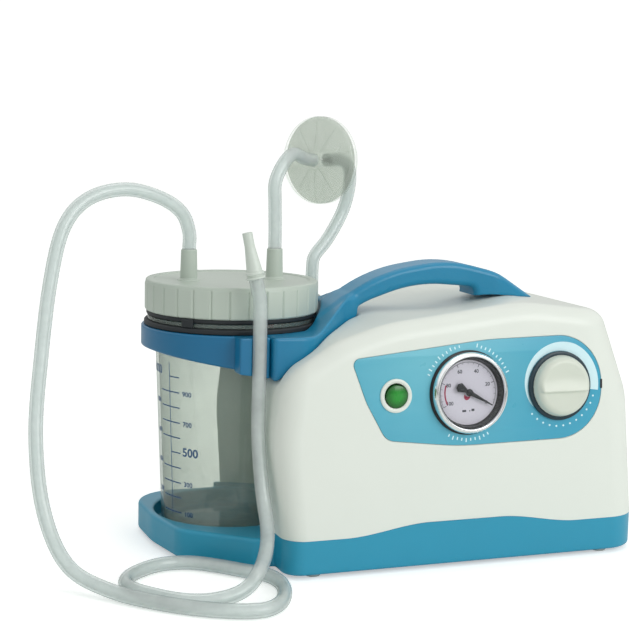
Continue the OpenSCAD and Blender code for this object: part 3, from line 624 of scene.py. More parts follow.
def clear(name, face, edge, haze=0.1, body="#e8efec", rough=0.06, shine=1.0):
    """Thin clear plastic: see-through, darker where the wall is seen edge on, with a little haze."""
    m, t, place, out = new_material(name)
    facing = t.add("LayerWeight", Blend=0.35).outputs["Facing"]
    through = t.add("BsdfTransparent", Color=t.mix(facing, linear(face), linear(edge)))
    grazing = t.math("POWER", t.add("LayerWeight", Blend=0.5).outputs["Facing"], 5.0)
    outer = t.math("SUBTRACT", 1.0, t.add("NewGeometry").outputs["Backfacing"])
    cloudy = t.span(t.noise(place, 60, 3), 0, 1, haze * 0.7, haze * 1.3)
    skin = finish(t, place, body, 0.35, 0.0, 0.03, 60, 900, 0.1, 0.0)
    inside = t.blend(cloudy, through.outputs[0], skin)
    gleam = t.math("MULTIPLY", t.math("MULTIPLY", t.span(grazing, 0, 1, 0.04, 0.9), outer), shine)
    gloss = t.add("BsdfGlossy", Roughness=rough)
    t.put(t.blend(gleam, inside, gloss.outputs[0]), out.inputs[0])
    return m


ROCKER_MIDDLE = in_row(on_front(*SWITCH) @ Vector((0, 0, 3)))
HANDLE_MIDDLE = in_row((20, -10, 190))
PANEL_TOP = in_row(on_front(0, 160).translation)
WHITE = material("white_case", "#e7ece4", 0.4, vary=0.012, coat=0.1)
BLUE = material("blue_case", "#2397b8", 0.38, vary=0.04, coat=0.1)
# The ring moulding darkens from its blue towards #066c99 away from the handle's middle: painted shade on the
# ring's front and left side.
RING_BLUE = material("ring_blue_with_painted_shade", "#0884ad", 0.36, vary=0.04, coat=0.1,
                     spot=(HANDLE_MIDDLE, 110, 165, "#066c99"))
PANEL = material("panel", "#6cbfd1", 0.3, vary=0.03, bump=0.15, coat=0.2,
                 spot=(PANEL_TOP, 10, 120, "#3aa3c2"))
RUBBER = material("rubber", "#1c2226", 0.6, vary=0.2, grain=900, bump=0.5)
FEET_GREY = material("feet_grey", "#c9ccc8", 0.7, vary=0.06, grain=900, bump=0.4)
STEEL = material("steel", "#b4b8bb", 0.3, 1.0, vary=0.08, streak=(1, 1, 12), grain=900)
CAST = material("cast", "#8f9498", 0.55, 0.9, vary=0.15, grain=700, bump=0.8)
DARK = material("dark_plastic", "#1d2023", 0.42, vary=0.15, bump=0.4)
LAMP = material("rocker_green", "#1c962b", 0.25, vary=0.2, patch=150, coat=0.2,
                spot=(ROCKER_MIDDLE, 2.5, 8.6, "#06500f"))
BEZEL = material("bezel_metal", "#eef0f1", 0.1, 1.0, vary=0.03, bump=0.05)
DIAL = material("dial", "#ece2ea", 0.6, vary=0.02, bump=0.1)
GLASS = clear("glass", "#fbfcfd", "#e8f0f2", haze=0.01, rough=0.02, shine=0.6)
BRASS = material("brass", "#c8a24c", 0.3, 1.0, vary=0.1)
BLACK = material("needle_black", "#0d0d10", 0.4, vary=0.15, bump=0.1)
IVORY = material("knob_ivory", "#d6dccf", 0.36, vary=0.015, coat=0.15)
# Dark colour of the disc under the knob: painted shade round the knob.
KNOB_SHADE = material("knob_base", "#0b2c38", 0.4, vary=0.08)
COPPER = material("copper", "#b5663a", 0.28, 1.0, vary=0.15, streak=(60, 8, 8), grain=700, bump=1.0)
LID_GREY = material("lid_grey", "#bfcabf", 0.4, vary=0.02, coat=0.1)
NOZZLE_GREY = material("nozzle_grey", "#aab5ae", 0.42, vary=0.03)
RED = material("float_red", "#7c0d18", 0.35, vary=0.1, coat=0.3)
JAR = clear("clear_plastic", "#f6f8f5", "#cfd5d1", haze=0.13, body="#d6e6de", rough=0.04)
PAPER = clear("membrane", "#f8faf7", "#e9ede8", haze=0.3, body="#f2f4f0", rough=0.6, shine=0.0)
HOSE = clear("silicone", "#f4f8f7", "#d6dedc", haze=0.34, body="#f4f8f7", rough=0.2)
CAP = clear("clear_cap", "#fdfefd", "#e4e9e4", haze=0.06, body="#f0f4f0", rough=0.1)
CONE = material("connector", "#d3dcd3", 0.35, vary=0.03, coat=0.2)
CAGE = clear("cage", "#eef2ef", "#b9c3be", haze=0.35, rough=0.2)
PRINT_BLUE = material("print_blue", "#24507f", 0.5, vary=0.15, bump=0.1)
PRINT_WHITE = material("print_white", "#d6f4fa", 0.45, vary=0.03, bump=0.1)
PRINT_BLACK = material("print_black", "#3a3640", 0.5, vary=0.15, bump=0.1)
PRINT_RED = material("print_red", "#b3204a", 0.5, vary=0.1, bump=0.1)

SLOTS = {"white_case": WHITE, "blue_case": BLUE, "panel": PANEL, "rubber": RUBBER, "steel": STEEL,
         "cast": CAST, "dark_plastic": DARK, "rocker_green": LAMP, "bezel_metal": BEZEL, "dial": DIAL,
         "glass": GLASS, "brass": BRASS, "needle_black": BLACK, "knob_ivory": IVORY, "knob_base": KNOB_SHADE,
         "copper": COPPER, "lid_grey": LID_GREY, "float_red": RED, "clear_plastic": CAP, "membrane": PAPER,
         "silicone": HOSE}


def piece(o, body, mat, slot, *nodes):
    """Dresses a piece, sets it on its body and hides the CAD nodes it stands for."""
    o.data.materials.clear()
    o.data.materials.append(mat)
    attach(o, body)
    if nodes:
        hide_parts(*nodes)
    return o


# ------------------------ the case
def seam_z(x):
    """Height of the seam between the base and the housing."""
    return SEAM + WAVE * (step_up(x, -64, 0) - step_up(x, 56, 118))


def soft_min(a, b, k):
    return np.minimum(a, b) - np.maximum(k - abs(a - b), 0) ** 2 / (4 * k)


roof_line = poly([(-400, -300, 0), (500, -300, 0), (500, 139.4, 0), (78, 187, 120), (-28, 174.3, 150),
                  (-66, 162.5, 90), (-400, -32, 0)], 2)


def case_plan(x, y):
    """Distance to the housing's plan, a rectangle whose corners have their own radii."""
    middle_x = (LEFT + RIGHT) / 2
    r = np.where(x < middle_x, np.where(y < 0, 16, 10), 28)
    u, v = abs(x - middle_x) - (RIGHT - LEFT) / 2 + r, abs(y) - HALF + r
    return np.minimum(np.maximum(u, v), 0) + np.hypot(np.maximum(u, 0), np.maximum(v, 0)) - r


saddle_plan = poly([(-107.5, -56, 3), (-80, -57, 22), (-40, -19, 25), (-30, -15, 0), (-30, 15, 0),
                    (-42, 22, 25), (-58, 72, 14), (-88, 84, 8), (-107.5, 84, 0)])
saddle_front = poly([(-125, 132, 0), (-104, 134, 0), (-66, 157, 60), (-34, 167.5, 0), (-28, 174, 0),
                     (-34, 190, 20), (-66, 168, 30), (-74, 164, 20), (-125, 164, 0)])
RING_R, RING_TOP, RING_BORE = 66.5, 163.6, 58.5
RING_SLOPE = math.radians(9.4)
NICHE = 60.0  # radius of the hollow in the case that the jar stands in


def jar_axis(x, y):
    return np.hypot(x - JX, y - JY)


def over_slope(x, z):
    """Height above the jar ring's sloping underside."""
    return (z - 148 + math.tan(RING_SLOPE) * (x + 179)) * math.cos(RING_SLOPE)


def case_form(x, y, z):
    """The housing without its seam: leaning front, tapered ends, rounded roof edges."""
    right = soft_min(RIGHT - (z - SEAM) * 4.5 / 90.5, RIGHT - 4.5 - (z - 118) * 21.5 / 61, 2.65)
    left = -soft_min(107 + (z - SEAM) * 5 / 64.5, 112 - (z - 92) * 6.5 / 47.5, 2.75)
    xs = x + step_up(x, 40, 110) * (RIGHT - right) + (1 - step_up(x, -90, -40)) * (LEFT - left)
    lean = (z - LEAN_Z) * math.tan(LEAN)
    ys = -HALF + (y + HALF - lean) * 2 * HALF / (2 * HALF - lean)
    radius = 13 - 4 * step_up(x, 122, 150)
    return both(case_plan(xs, ys), roof_line(x, z), radius)


def housing_solid(x, y, z):
    d = case_form(x, y, z)
    ring_seat = np.maximum(jar_axis(x, y) - RING_R - 0.3, -over_slope(x, z) - 0.3)
    saddle = np.maximum(saddle_plan(x, y), saddle_front(x, z)) - 0.3
    d = less(d, jar_axis(x, y) - NICHE, 2.5)
    d = less(d, join(ring_seat, saddle), 3.0)
    return less(d, np.sqrt((x - 24) ** 2 + y ** 2 + (z - 346) ** 2) - 170, 7)


def across_seam(gap, z_end):
    """A block that meets the seam at the given distance from it and ends at z_end."""
    line = [(x, seam_z(x) + gap) for x in np.arange(-190, 191, 2.0)]
    line += [(190, z_end), (-190, z_end)]
    return mesh("cut", *prism(line if z_end > SEAM else line[::-1], -110, 110),
                matrix=Matrix.Rotation(math.pi / 2, 4, "X"))


def housing_net(name, inset, foot, step):
    """The housing's form drawn in by inset, cut flat at the foot below the seam."""
    def field(x, y, z):
        return both(housing_solid(x, y, z) + inset, foot - z)
    return mesh(name, *net(field, (-118, -94, foot - 2), (180, 94, 192), step), sharp=50)


def build_housing():
    """An open shell with its panel recess, three openings, rear slots, inlet window and nozzle hole."""
    o = housing_net("housing_shell", 0, 20, 1.2)
    combine(o, [housing_net("room", WALL, 16, 2.2), across_seam(0.12, 0)], sharp=40)
    cuts = [mesh("cut", *prism(panel_outline(0), -1, 6), matrix=on_front(0, LEAN_Z))]
    cuts += [rod("cut", r, -12, 10, on_front(*at), 96) for at, r in PANEL_HOLES]
    for i in range(9):
        x = -22 + i * VENT_PITCH
        cuts.append(block("cut", (x, 80, 45), (x + VENT_WIDTH, 100, 83), edge=1.2))
    x, z = mid("mains_inlet").x, 62
    cuts.append(block("cut", (x - 14, 78, z - 15.5), (x + 14, 100, z + 15.5)))
    cuts.append(rod("cut", 8.1, 150, 210, about(NOZZLE.x, NOZZLE.y)))
    return combine(o, cuts, sharp=40)


def offset(line, t):
    """Moves a closed outline inwards by t."""
    p = np.asarray(line, float)
    d = np.roll(p, -1, 0) - p
    d /= np.maximum(np.linalg.norm(d, axis=1), 1e-12)[:, None]
    e = np.roll(d, 1, 0)
    m, n = np.stack([-e[:, 1], e[:, 0]], 1), np.stack([-d[:, 1], d[:, 0]], 1)
    return p + t * (m + n) / (1 + (m * n).sum(1))[:, None]


PANEL_LINE = [(-33.5, 93.5, 12), (22, 87, 200), (138.5, 88.5, 36), (138.5, 164.5, 36), (45, 162.5, 200),
              (-59.5, 151.5, 5), (-48.5, 121, 60)]
VENT_PITCH, VENT_WIDTH = 9, 3.5


def panel_outline(inset):
    """The panel's outline on the leaning face."""
    return [(x, up_face(z)) for x, z in offset(rounded(PANEL_LINE, 3), inset)]


def build_base():
    """The bottom shell of the case with the jar's tray, its well, screw holes and floor vents."""
    plan = poly([(-107, -90, 14), (175, -90, 28), (175, 90, 28), (-107, 90, 0)])
    tray = poly([(-100, 90, 0), (-175, 90, 60), (-174.6, 22, 80), (-166.5, -22, 16), (-120, -63, 14),
                 (-100, -63, 0)])

    def field(x, y, z):
        rho = jar_axis(x, y)
        wall = plan(x, y)
        case = both(wall, z - 41)
        case = less(case, np.maximum(rho - NICHE, TRAY_RIM - z), 0.8)
        dish = both(tray(x, y), z - TRAY_RIM, 2.6)
        d = join(case, dish, 1.5)
        d = both(d, 3 - z, 2.2)
        hollow = both(wall + WALL, 5.6 - z, 1.0)
        hollow = np.maximum(hollow, NICHE + WALL - rho)
        d = less(d, hollow, 0.6)
        return less(d, both(rho - 56, 12 - z, 1.5), 1.8)
    step = 1.1
    o = mesh("base_shell", *net(field, (-180, -94, 0), (180, 94, 44), step), sharp=50)
    cuts = [across_seam(0, 60)] + [rod("cut", 4.1, 0, 4, about(x, y)) for x, y in FEET]
    for i in range(8):
        x = -20 + i * VENT_PITCH
        cuts.append(block("cut", (x, 30, 0), (x + VENT_WIDTH, 66, 10), edge=1))
    return combine(o, cuts, sharp=40)


def build_handle():
    """The jar's ring, the saddle on the case and the carrying handle, in one moulding."""
    front = poly([(-40, 150, 0), (-46, 166, 10), (-24, 182, 60), (18, 196, 120), (67, 192, 5), (64, 180, 0),
                  (84, 178, 0), (121.5, 180.5, 1.5), (84, 203, 60), (44, 213, 130), (-14, 204, 120),
                  (-70, 165, 0), (-70, 150, 0)], 3)
    half = 15
    plan = poly([(-80, -half, 0), (60, -half, 60), (84, -half - 3, 20), (126, -half + 6, 8),
                 (126, half - 6, 8), (84, half + 3, 20), (60, half, 60), (-80, half, 0)])

    def field(x, y, z):
        rho = jar_axis(x, y)
        over = over_slope(x, z)
        hoop = both(both(rho - RING_R, -over, 1.5), z - RING_TOP, 1.5)
        saddle = both(saddle_plan(x, y), saddle_front(x, z), 2.0)
        band = both(front(x, z), plan(x, y), 4.5)
        band = less(band, case_form(x, y, z) - 0.05, 0.5)
        d = join(join(hoop, saddle, 2.0), band, 5.0)
        d = less(d, rho - RING_BORE, 1.2)
        d = less(d, np.maximum(rho - 66, RING_TOP + 0.1 - z), 1.0)
        return np.maximum(d, y - HALF)
    step = 1.0
    return mesh("ring_and_handle", *net(field, (-182, -60, 126), (126, 98, 216), step), sharp=50)


piece(build_housing(), "root", WHITE, "white_case", "housing")
piece(build_base(), "root", BLUE, "blue_case", "base_tray")
piece(build_handle(), "root", RING_BLUE, "blue_case", "handle_ring")


def build_clip():
    """Clip on the front of the ring that holds the patient tube."""
    cx, cy = -116.0, -50.0

    def field(x, y, z):
        sides = both(abs(x + 119) - 11, -49.5 - y, 1.2)
        ends = both(z - RING_TOP, -over_slope(x, z) - 1.5, 1.0)
        body = less(both(sides, ends, 0.8), np.hypot(x - cx, y - cy) - 5.3, 0.7)
        return np.maximum(body, RING_R + 0.05 - jar_axis(x, y))
    return mesh("tube_clip_body", *net(field, (-131, -51, 128), (-107, -36, 165), 0.5), sharp=50)


piece(build_clip(), "root", RING_BLUE, "blue_case", "tube_clip")
# A black bead between the ring's top and the jar's flange: painted shade in the gap between them.
cushion = turned("ring_gap_shade_bead", [(57.6, 163.7, 0.6), (64.5, 163.7, 0.6), (64.5, 167.4, 1.4),
                                       (57.6, 167.4, 1.4)], AT_JAR, 192)
piece(cushion, "root", RUBBER, "rubber", "ring_cushion")

FOOT = [(0, 0.2, 0), (4.4, 0.2, 0.3), (4.9, 0, 0.3), (5.5, 0.9, 0.6), (5.2, 3, 0.2), (4, 3, 0), (4, 4, 0.3),
        (0, 4, 0)]
feet = together("feet", [turned("foot", FOOT, about(x, y), 48) for x, y in FEET])
piece(feet, "root", FEET_GREY, "rubber", "rubber_feet")

# ------------------------ control panel and its print
holes = [ring_line(r, cx=x, cy=up_face(z)) for (x, z), r in PANEL_HOLES]
plate = flat("panel_plate", [panel_outline(0.45)] + holes, -0.95, 0.12, 0.25, on_front(0, LEAN_Z))
piece(plate, "root", PANEL, "panel", "control_panel")

LIFT = Matrix.Translation((0, 0, 0.11))  # from the housing's face to the plate's
knob_marks = [wedge(215, -8, lambda t: 25.4, lambda t: 25.5 + 7.2 * min(1, t * 1.5) ** 0.8)]
knob_marks += [dot(*polar(a, 29.6)) for a in range(-138, -14, 11)]
piece(printed("knob_scale", knob_marks, None, on_front(*KNOB) @ LIFT), "root", PRINT_WHITE, "white_case")
ticks = [start + step for start in (24, 102, 243) for step in range(0, 60, 6)]
gauge_marks = [spoke(a, 32.6, 34.6 if i % 3 else 35.4, 0.9) for i, a in enumerate(ticks)]
piece(printed("gauge_surround_marks", gauge_marks, None, on_front(*GAUGE) @ LIFT), "root", PRINT_WHITE,
      "white_case")
notch_line = rounded([(-0.9, -3.6, 0.85), (0.9, -3.6, 0.85), (0.9, 3.6, 0.85), (-0.9, 3.6, 0.85)])
notch = flat("panel_notch", [notch_line], 0.0, 0.3, 0.1, on_front(138.1, KNOB[1]))
piece(notch, "root", DARK, "dark_plastic")

# ------------------------ switch
bezel = turned("switch_ring", [(8.8, -6.9, 0), (10, -6.9, 0), (10, 0, 0), (12, 0, 0.3), (12, 1.3, 0.9),
                               (10.6, 1.75, 0.8), (8.8, 1.3, 0.5)], on_front(*SWITCH), 96)
piece(bezel, "root", WHITE, "white_case", "switch_bezel")
LENS_R, DOME_R, DOME_Z = 8.15, 22.6, -16.0
dome = [(r, DOME_Z + math.sqrt(DOME_R ** 2 - r * r), 0.5 if r == LENS_R else 0)
        for r in (LENS_R, 7, 5.5, 4, 2.5, 1.2, 0)]
at_rocker = on_front(*SWITCH) @ Matrix.Translation((0, 0, -2.5)) @ Matrix.Rotation(math.radians(7), 4, "X")
lens = turned("rocker_lens", [(0, -3, 0), (LENS_R, -3, 0.5)] + dome, at_rocker, 96)
piece(lens, "rocker", LAMP, "rocker_green", "rocker")

# ------------------------ vacuum gauge
AT_GAUGE = on_front(*GAUGE)
piece(turned("gauge_rim", [(27, 0.15, 0), (29, 0.15, 0.3), (29, 5.0, 2.2), (27.6, 7.6, 1.3), (25.8, 7.5, 0.8),
                           (25.4, 5.2, 0.2), (27, 5.2, 0)], AT_GAUGE, 160),
      "root", BEZEL, "bezel_metal", "gauge_bezel")
# A thin black ring round the bezel's foot: painted shadow round the gauge.
shadow_ring_line = [(28.5, 0.12, 0), (30.3, 0.12, 0.2), (30.1, 1.1, 0.4), (28.5, 1.1, 0)]
piece(turned("gauge_shadow_ring", shadow_ring_line, AT_GAUGE, 128), "root", BLACK, "rubber")
# A black cone inside the bezel: painted dark reflection of the bezel's inner wall and painted shade at the
# dial's edge.
piece(turned("gauge_shade_funnel", [(25.35, 4.95, 0.1), (25.35, -0.15, 0.1), (23.1, -0.15, 0.1), (24.0, 2, 0.5),
                              (24.4, 4.95, 0.2)], AT_GAUGE, 128), "root", BLACK, "dark_plastic")
piece(turned("gauge_window", [(0, 5.05, 0), (26.8, 5.05, 0.2), (26.8, 5.95, 0.3), (0, 6, 0)], AT_GAUGE, 128),
      "root", GLASS, "glass", "gauge_glass")
ZERO, SWEEP, DIVISIONS = -28.0, 236.0, 20  # the dial's scale, in degrees
dial_marks = []
for i in range(DIVISIONS + 1):
    turn = ZERO + SWEEP * i / DIVISIONS
    major = i % 4 == 0
    dial_marks.append(spoke(turn, 19.3 if major else 20.2, 21.6, 0.42 if major else 0.22))
    if major:
        dial_marks.append(numeral(str(i * 5), *polar(turn, 16.2), 2.6))
dial_marks += [wedge(ZERO, ZERO + SWEEP, lambda t: 21.5, lambda t: 21.8, 90)]
dial_marks += [bar((-4.6, -13.2), (-1.6, -13.2), 1.5), bar((0.8, -13.2), (1.6, -13.2), 0.9),
               bar((2.6, -12.7), (4.9, -12.7), 1.7)]
AT_DIAL = AT_GAUGE @ Matrix.Translation((0, 0, -0.2))
piece(printed("dial_scale", dial_marks, None, AT_DIAL), "root", PRINT_BLACK, "needle_black")
red_marks = [wedge(ZERO + 190, ZERO + SWEEP, lambda t: 17.6, lambda t: 18.7, 20),
             wedge(205, 300, lambda t: 3.0, lambda t: 3.1 + 2.6 * math.sin(math.pi * t), 16)]
piece(printed("dial_warning_marks", red_marks, None, AT_DIAL), "root", PRINT_RED, "float_red")

AT_NEEDLE = AT_GAUGE @ Matrix.Rotation(math.radians(ZERO), 4, "Z")
blade = [(-2.4, -1.2), (0, -2.0), (3.5, -1.45), (12, -0.85), (20, -0.35), (20.5, 0), (20, 0.35), (12, 0.85),
         (3.5, 1.45), (0, 2.0), (-2.4, 1.2), (-8.6, 3.5), (-10.9, 1.6), (-10.9, -1.6), (-8.6, -3.5)]
hub_line = [(0, -12, 0), (0.8, -12, 0.1), (0.8, 1.8, 0), (2.6, 1.8, 0.2), (2.6, 3.0, 0.5), (1.3, 3.3, 0.2),
            (1.0, 3.8, 0.3), (0, 3.8, 0)]
needle = together("pointer", [
    flat("blade", [rounded([(x, y, 0.25) for x, y in blade])], 2.0, 2.8, 0.2, AT_NEEDLE),
    turned("hub", hub_line, AT_NEEDLE, 48)])
piece(needle, "needle", BLACK, "needle_black", "gauge_needle")


# ------------------------ regulator knob
AT_KNOB = on_front(*KNOB)


def build_knob():
    """A tapered knob, dished on top, with a grip ridge across it and a bore from below."""
    def field(x, y, z):
        rho = np.hypot(x, y)
        side = rho - 22.5 + 0.28 * (z - 2.6)
        top = z - 9.6 + 0.5 * np.cos(np.clip(rho / 20, 0, 1) * math.pi)
        grip = both(both(-y - 4.4 + (z - 9) * 0.3, 0.3 * y + z * 0.95 - 10.4, 0.8), rho - 19.4, 2.0)
        d = join(both(side, top, 3.6), grip, 1.4)
        return np.maximum(both(d, 2.7 - z, 0.4), 9.2 - rho - 40 * np.clip(z - 4.2, 0, 1))
    return mesh("regulator_dial", *net(field, (-24, -24, 1.8), (24, 24, 15), 0.55), AT_KNOB, 50)


spindle_line = [(0, -20, 0), (2.6, -20, 0.3), (3, -19, 0.3), (3, 3.4, 0), (2.7, 3.7, 0), (2.7, 8.2, 0.3),
                (0, 8.2, 0)]
# The dark disc under the knob is painted shade in the ring round the knob.
shade_disc_line = [(9.1, 0.6, 0), (25.2, 0.6, 0.2), (25.2, 2.2, 0.7), (23.6, 2.6, 0.3), (9.1, 2.6, 0)]
piece(build_knob(), "knob", IVORY, "knob_ivory", "regulator_knob")
piece(turned("knob_spindle", spindle_line, AT_KNOB, 48), "knob", STEEL, "steel", "regulator_spindle")
piece(turned("knob_shade_disc", shade_disc_line, AT_KNOB, 128), "knob", KNOB_SHADE, "knob_base", "knob_skirt")


# ------------------------ lid, jar and float
def build_lid():
    """The screw lid: a cap with flats round its skirt and two hose sockets."""
    flats = 30
    half = math.pi / flats

    def grip(a, r, z):
        if r < 62.5 or z > 194:
            return r
        t = abs((a * flats / (2 * math.pi)) % 1 - 0.5)
        flat_r = r * math.cos(half) / math.cos(t * 2 * half) + 0.2
        return min(flat_r, r) - max(0.0, 1 - (0.5 - t) * 2 * half * r / 0.9)
    o = turned("lid_shell", [(0, 191, 0), (60.4, 191, 0.5), (60.4, 174.1, 0), (63, 174.1, 0), (64, 175, 1),
                             (64, 193.5, 0), (63.6, 194.5, 1), (63.2, 197, 2), (57.5, 197, 0.6),
                             (57, 196.2, 0.6), (0, 196.2, 0)], AT_JAR, 720, 10, grip, 25)
    socket = [(0, 195, 0), (9, 195, 0), (8.4, 197, 0.8), (6.4, 197.4, 1), (5.8, 219, 1), (0, 219, 0)]
    adds = [turned("socket", socket, at, 64) for at in PORTS]
    adds.append(rod("cage_seat", 5, 184, 192, PORTS[1]))
    combine(o, adds, "UNION", 30)
    cuts = []
    for at in PORTS:
        cuts += [rod("hose_bore", HOSE_R + 0.02, 206, 230, at), rod("port_bore", 2.5, 180, 210, at, 32)]
    return combine(o, cuts, sharp=30)


piece(build_lid(), "lid", LID_GREY, "lid_grey", "lid")
LUG_TURN = math.radians(224)
rim_seal = [(52.5, 189, 0.5), (57.5, 189, 0.5), (57.5, 191, 0.5), (52.5, 191, 0.5)]
# The black ring under the lid's skirt, above the jar's flange, is painted shade in the gap there; the rim
# seal and the lug are rubber.
skirt_gap_shade = [(59.2, 170.8, 1.2), (62.8, 170.8, 1.4), (62.8, 173.9, 0.6), (59.2, 173.9, 0.6)]
seals = [turned("seal", line, AT_JAR, 160) for line in (rim_seal, skirt_gap_shade)]
at_lug = AT_JAR @ Matrix.Rotation(LUG_TURN, 4, "Z")
seals.append(block("seal_lug", (62.1, -4.5, 167.6), (64.6, 4.5, 173.8), at_lug, 0.8))
piece(together("lid_seals_and_gap_shade", seals), "lid", RUBBER, "rubber", "lid_gasket")

jar_line = [(0, 12, 0), (47.5, 12, 2), (49, 13.2, 2), (50.4, 16, 6), (56.4, 160, 3), (56.5, 167.5, 0.5),
            (62, 167.5, 0.6), (62, 170.5, 0.6), (56.5, 170.5, 0.6), (56.5, 179, 0), (57.9, 180.5, 0.4),
            (56.5, 182, 0), (56.5, 189, 0.5), (54.2, 189, 0.5), (54.2, 160, 3), (48.2, 17, 5), (46, 15.3, 3),
            (0, 15.3, 0)]
piece(turned("jar_shell", jar_line, AT_JAR, 192, 6, sharp=30), "jar", JAR, "clear_plastic", "jar")

SCALE_TURN = math.radians(200)


def on_jar(points):
    """Flat marks, x round the jar and y up it, bent to its outside."""
    a = SCALE_TURN + points[:, 0] / 52
    r = 50.45 + (points[:, 1] - 16) / 24 + points[:, 2]
    return np.stack([JX + r * np.cos(a), JY + r * np.sin(a), points[:, 1]], 1)


def fill_z(ml):
    """Height of a graduation."""
    return 17.5 + 0.1115 * ml


def jar_number(ml):
    """The number beside a graduation, on its right or above its left part, larger at every 500 ml."""
    if ml % 500 == 0:
        x, rise = (18.6, 1) if ml == 500 else (-19, 3)
        return numeral(str(ml), x, fill_z(ml) + rise, 6.2)
    x, rise = (16.5, -0.5) if ml % 200 else (-17, 2.4)
    return numeral(str(ml), x, fill_z(ml) + rise, 3.6)


jar_marks = [bar((0, 26), (0, 139), 0.6)]
for ml in range(100, 1001, 100):
    start = -11 if ml % 500 else 0
    jar_marks += [bar((start, fill_z(ml)), (10, fill_z(ml)), 0.85, 8), jar_number(ml)]
piece(printed("jar_graduations", jar_marks, on_jar), "jar", PRINT_BLUE, "blue_case")

piece(turned("float_body", [(0, 116, 0), (1.7, 116.2, 0.8), (3.3, 131, 1), (3.3, 151.5, 1), (8.4, 153, 1.5),
                            (8.4, 170, 1.6), (3, 171.2, 0.5), (3, 172, 0.3), (0, 172, 0)], PORTS[1], 72),
      "float", RED, "float_red", "float_valve")

# ------------------------ tubing and filter
PATIENT = [
    (JX - PORT, JY, 206), (JX - PORT, JY, 220), (JX - PORT, JY, 231), (-152.5, 26, 246), (-170, 22, 257),
    (-196, 16, 263), (-224, 8, 257), (-243, 0, 238), (-254, -8, 200), (-262, -18, 150), (-268, -30, 100),
    (-266, -46, 52), (-254, -66, 18), (-232, -92, 7), (-206, -122, 5.4), (-176, -146, 5.4), (-148, -156, 5.4),
    (-131, -146, 5.4), (-120, -124, 5.4), (-116.5, -101, 5.4), (-121.5, -83, 5.4), (-132.5, -72, 5.4),
    (-146, -57, 5.4), (-163.5, -43.5, 5.4), (-185, -43, 5.4), (-206, -57.5, 5.4), (-216, -75, 5.4),
    (-214, -92, 5.4), (-202, -110, 5.4), (-189.5, -122.5, 5.4), (-174.5, -128, 5.4), (-158.5, -128, 7),
    (-147, -126, 11), (-138, -122, 19), (-127, -104, 27), (-119, -82, 38), (-118.2, -67, 60),
    (-118, -56, 95), (-116.3, -50.5, 130), (-116, -50, 150), (-116, -50, 172)]
CONE_FOOT = Vector((-119, -49, 203.2))
CONE_AXIS = (Vector((-125.5, -46.5, 237)) - CONE_FOOT).normalized()
PATIENT += [CONE_FOOT + d * CONE_AXIS for d in (-14, -6.5, 1.8)]
piece(tube("patient_hose", PATIENT), "lid", HOSE, "silicone", "patient_tube")
cone_line = [(1.8, -6, 0), (3.15, -6, 0.4), (3.15, 1.9, 0), (6.9, 1.9, 0.6), (6.9, 3.4, 0.6), (5.4, 3.8, 0.3),
             (5.4, 4.8, 0.3), (6.6, 5.1, 0.5), (6.6, 6.6, 0.5), (5.6, 7.2, 0.4), (3.6, 24.5, 2),
             (3.6, 34.4, 0.5), (1.8, 34.4, 0.3)]
at_cone = Matrix.Translation(CONE_FOOT) @ CONE_AXIS.to_track_quat("Z", "Y").to_matrix().to_4x4()
piece(turned("patient_cone", cone_line, at_cone, 64), "lid", CONE, "silicone", "cone_connector")

TURN = math.radians(211.9)
AXIS = Vector((math.cos(TURN), math.sin(TURN), 0))


def off_filter(distance, rise=0.0):
    """A point on the filter's axis, raised by rise."""
    return FILTER + distance * AXIS + Vector((0, 0, rise))


FEED_X = JX + PORT
feed_path = [(FEED_X, JY, 206), (FEED_X, JY, 220), (FEED_X, JY, 234), (FEED_X - 0.5, JY, 254),
             (FEED_X - 0.5, JY, 268), off_filter(45, -3), off_filter(33, 5), off_filter(19, 1.5),
             off_filter(8)]
piece(tube("filter_feed_hose", feed_path), "lid", HOSE, "silicone", "filter_up_tube")

bend = off_filter(-26)
pump_path = [off_filter(-8), off_filter(-17), bend, (bend.x + 9, bend.y + 5, 278),
             (bend.x + 10, bend.y + 5, 264), (-8, 75, 244), (-22, 70.5, 222),
             (NOZZLE.x + 2, NOZZLE.y + 1, 209)]
pump_path += [(NOZZLE.x, NOZZLE.y, z) for z in (198, 189.5, 179.2)]
piece(tube("filter_pump_hose", pump_path), "lid", HOSE, "silicone", "filter_down_tube")

nozzle_line = [(1.8, 158, 0), (3.15, 158, 0.4), (3.15, 166.2, 0), (8, 166.2, 0.3), (8, 176.8, 1.4),
               (6.2, 178.9, 1), (3.15, 178.9, 0), (3.15, 189, 0.5), (1.8, 189, 0.2)]
piece(turned("pump_nozzle", nozzle_line, about(NOZZLE.x, NOZZLE.y), 64), "root", NOZZLE_GREY, "lid_grey",
      "inlet_nozzle")


def filter_shell(name, side):
    """One half of the filter: a shallow dish with radial ribs, a hub and a hose stub."""
    at = Matrix.Translation(FILTER) @ Matrix.Rotation(TURN, 4, "Z") @ Matrix.Rotation(math.pi / 2, 4, "Y")
    if side < 0:
        at = at @ Matrix.Rotation(math.pi, 4, "X")
    dish = turned(name, [(1.8, 2.1, 0), (30, 0.3, 0), (33.4, 0.3, 0.2), (33.4, 3.6, 1.2), (31.2, 4.4, 1),
                         (30, 3.6, 0.8), (8, 5.8, 1), (6.6, 8.2, 0.8), (3.5, 8.4, 0.3), (3.2, 16, 0.4),
                         (1.8, 16, 0.2)], at, 128)
    rib = [(7.0, 5.4), (30.6, 3.1), (30.6, 4.3), (8.4, 6.7), (7.0, 7.4)]
    count, ribs = 10, []
    for k in range(count):
        flank = at @ Matrix.Rotation(2 * math.pi * k / count, 4, "Z") @ Matrix.Rotation(math.pi / 2, 4, "X")
        ribs.append(mesh("rib", *prism(rib, -0.6, 0.6), matrix=flank))
    return combine(dish, ribs, "UNION", 35)


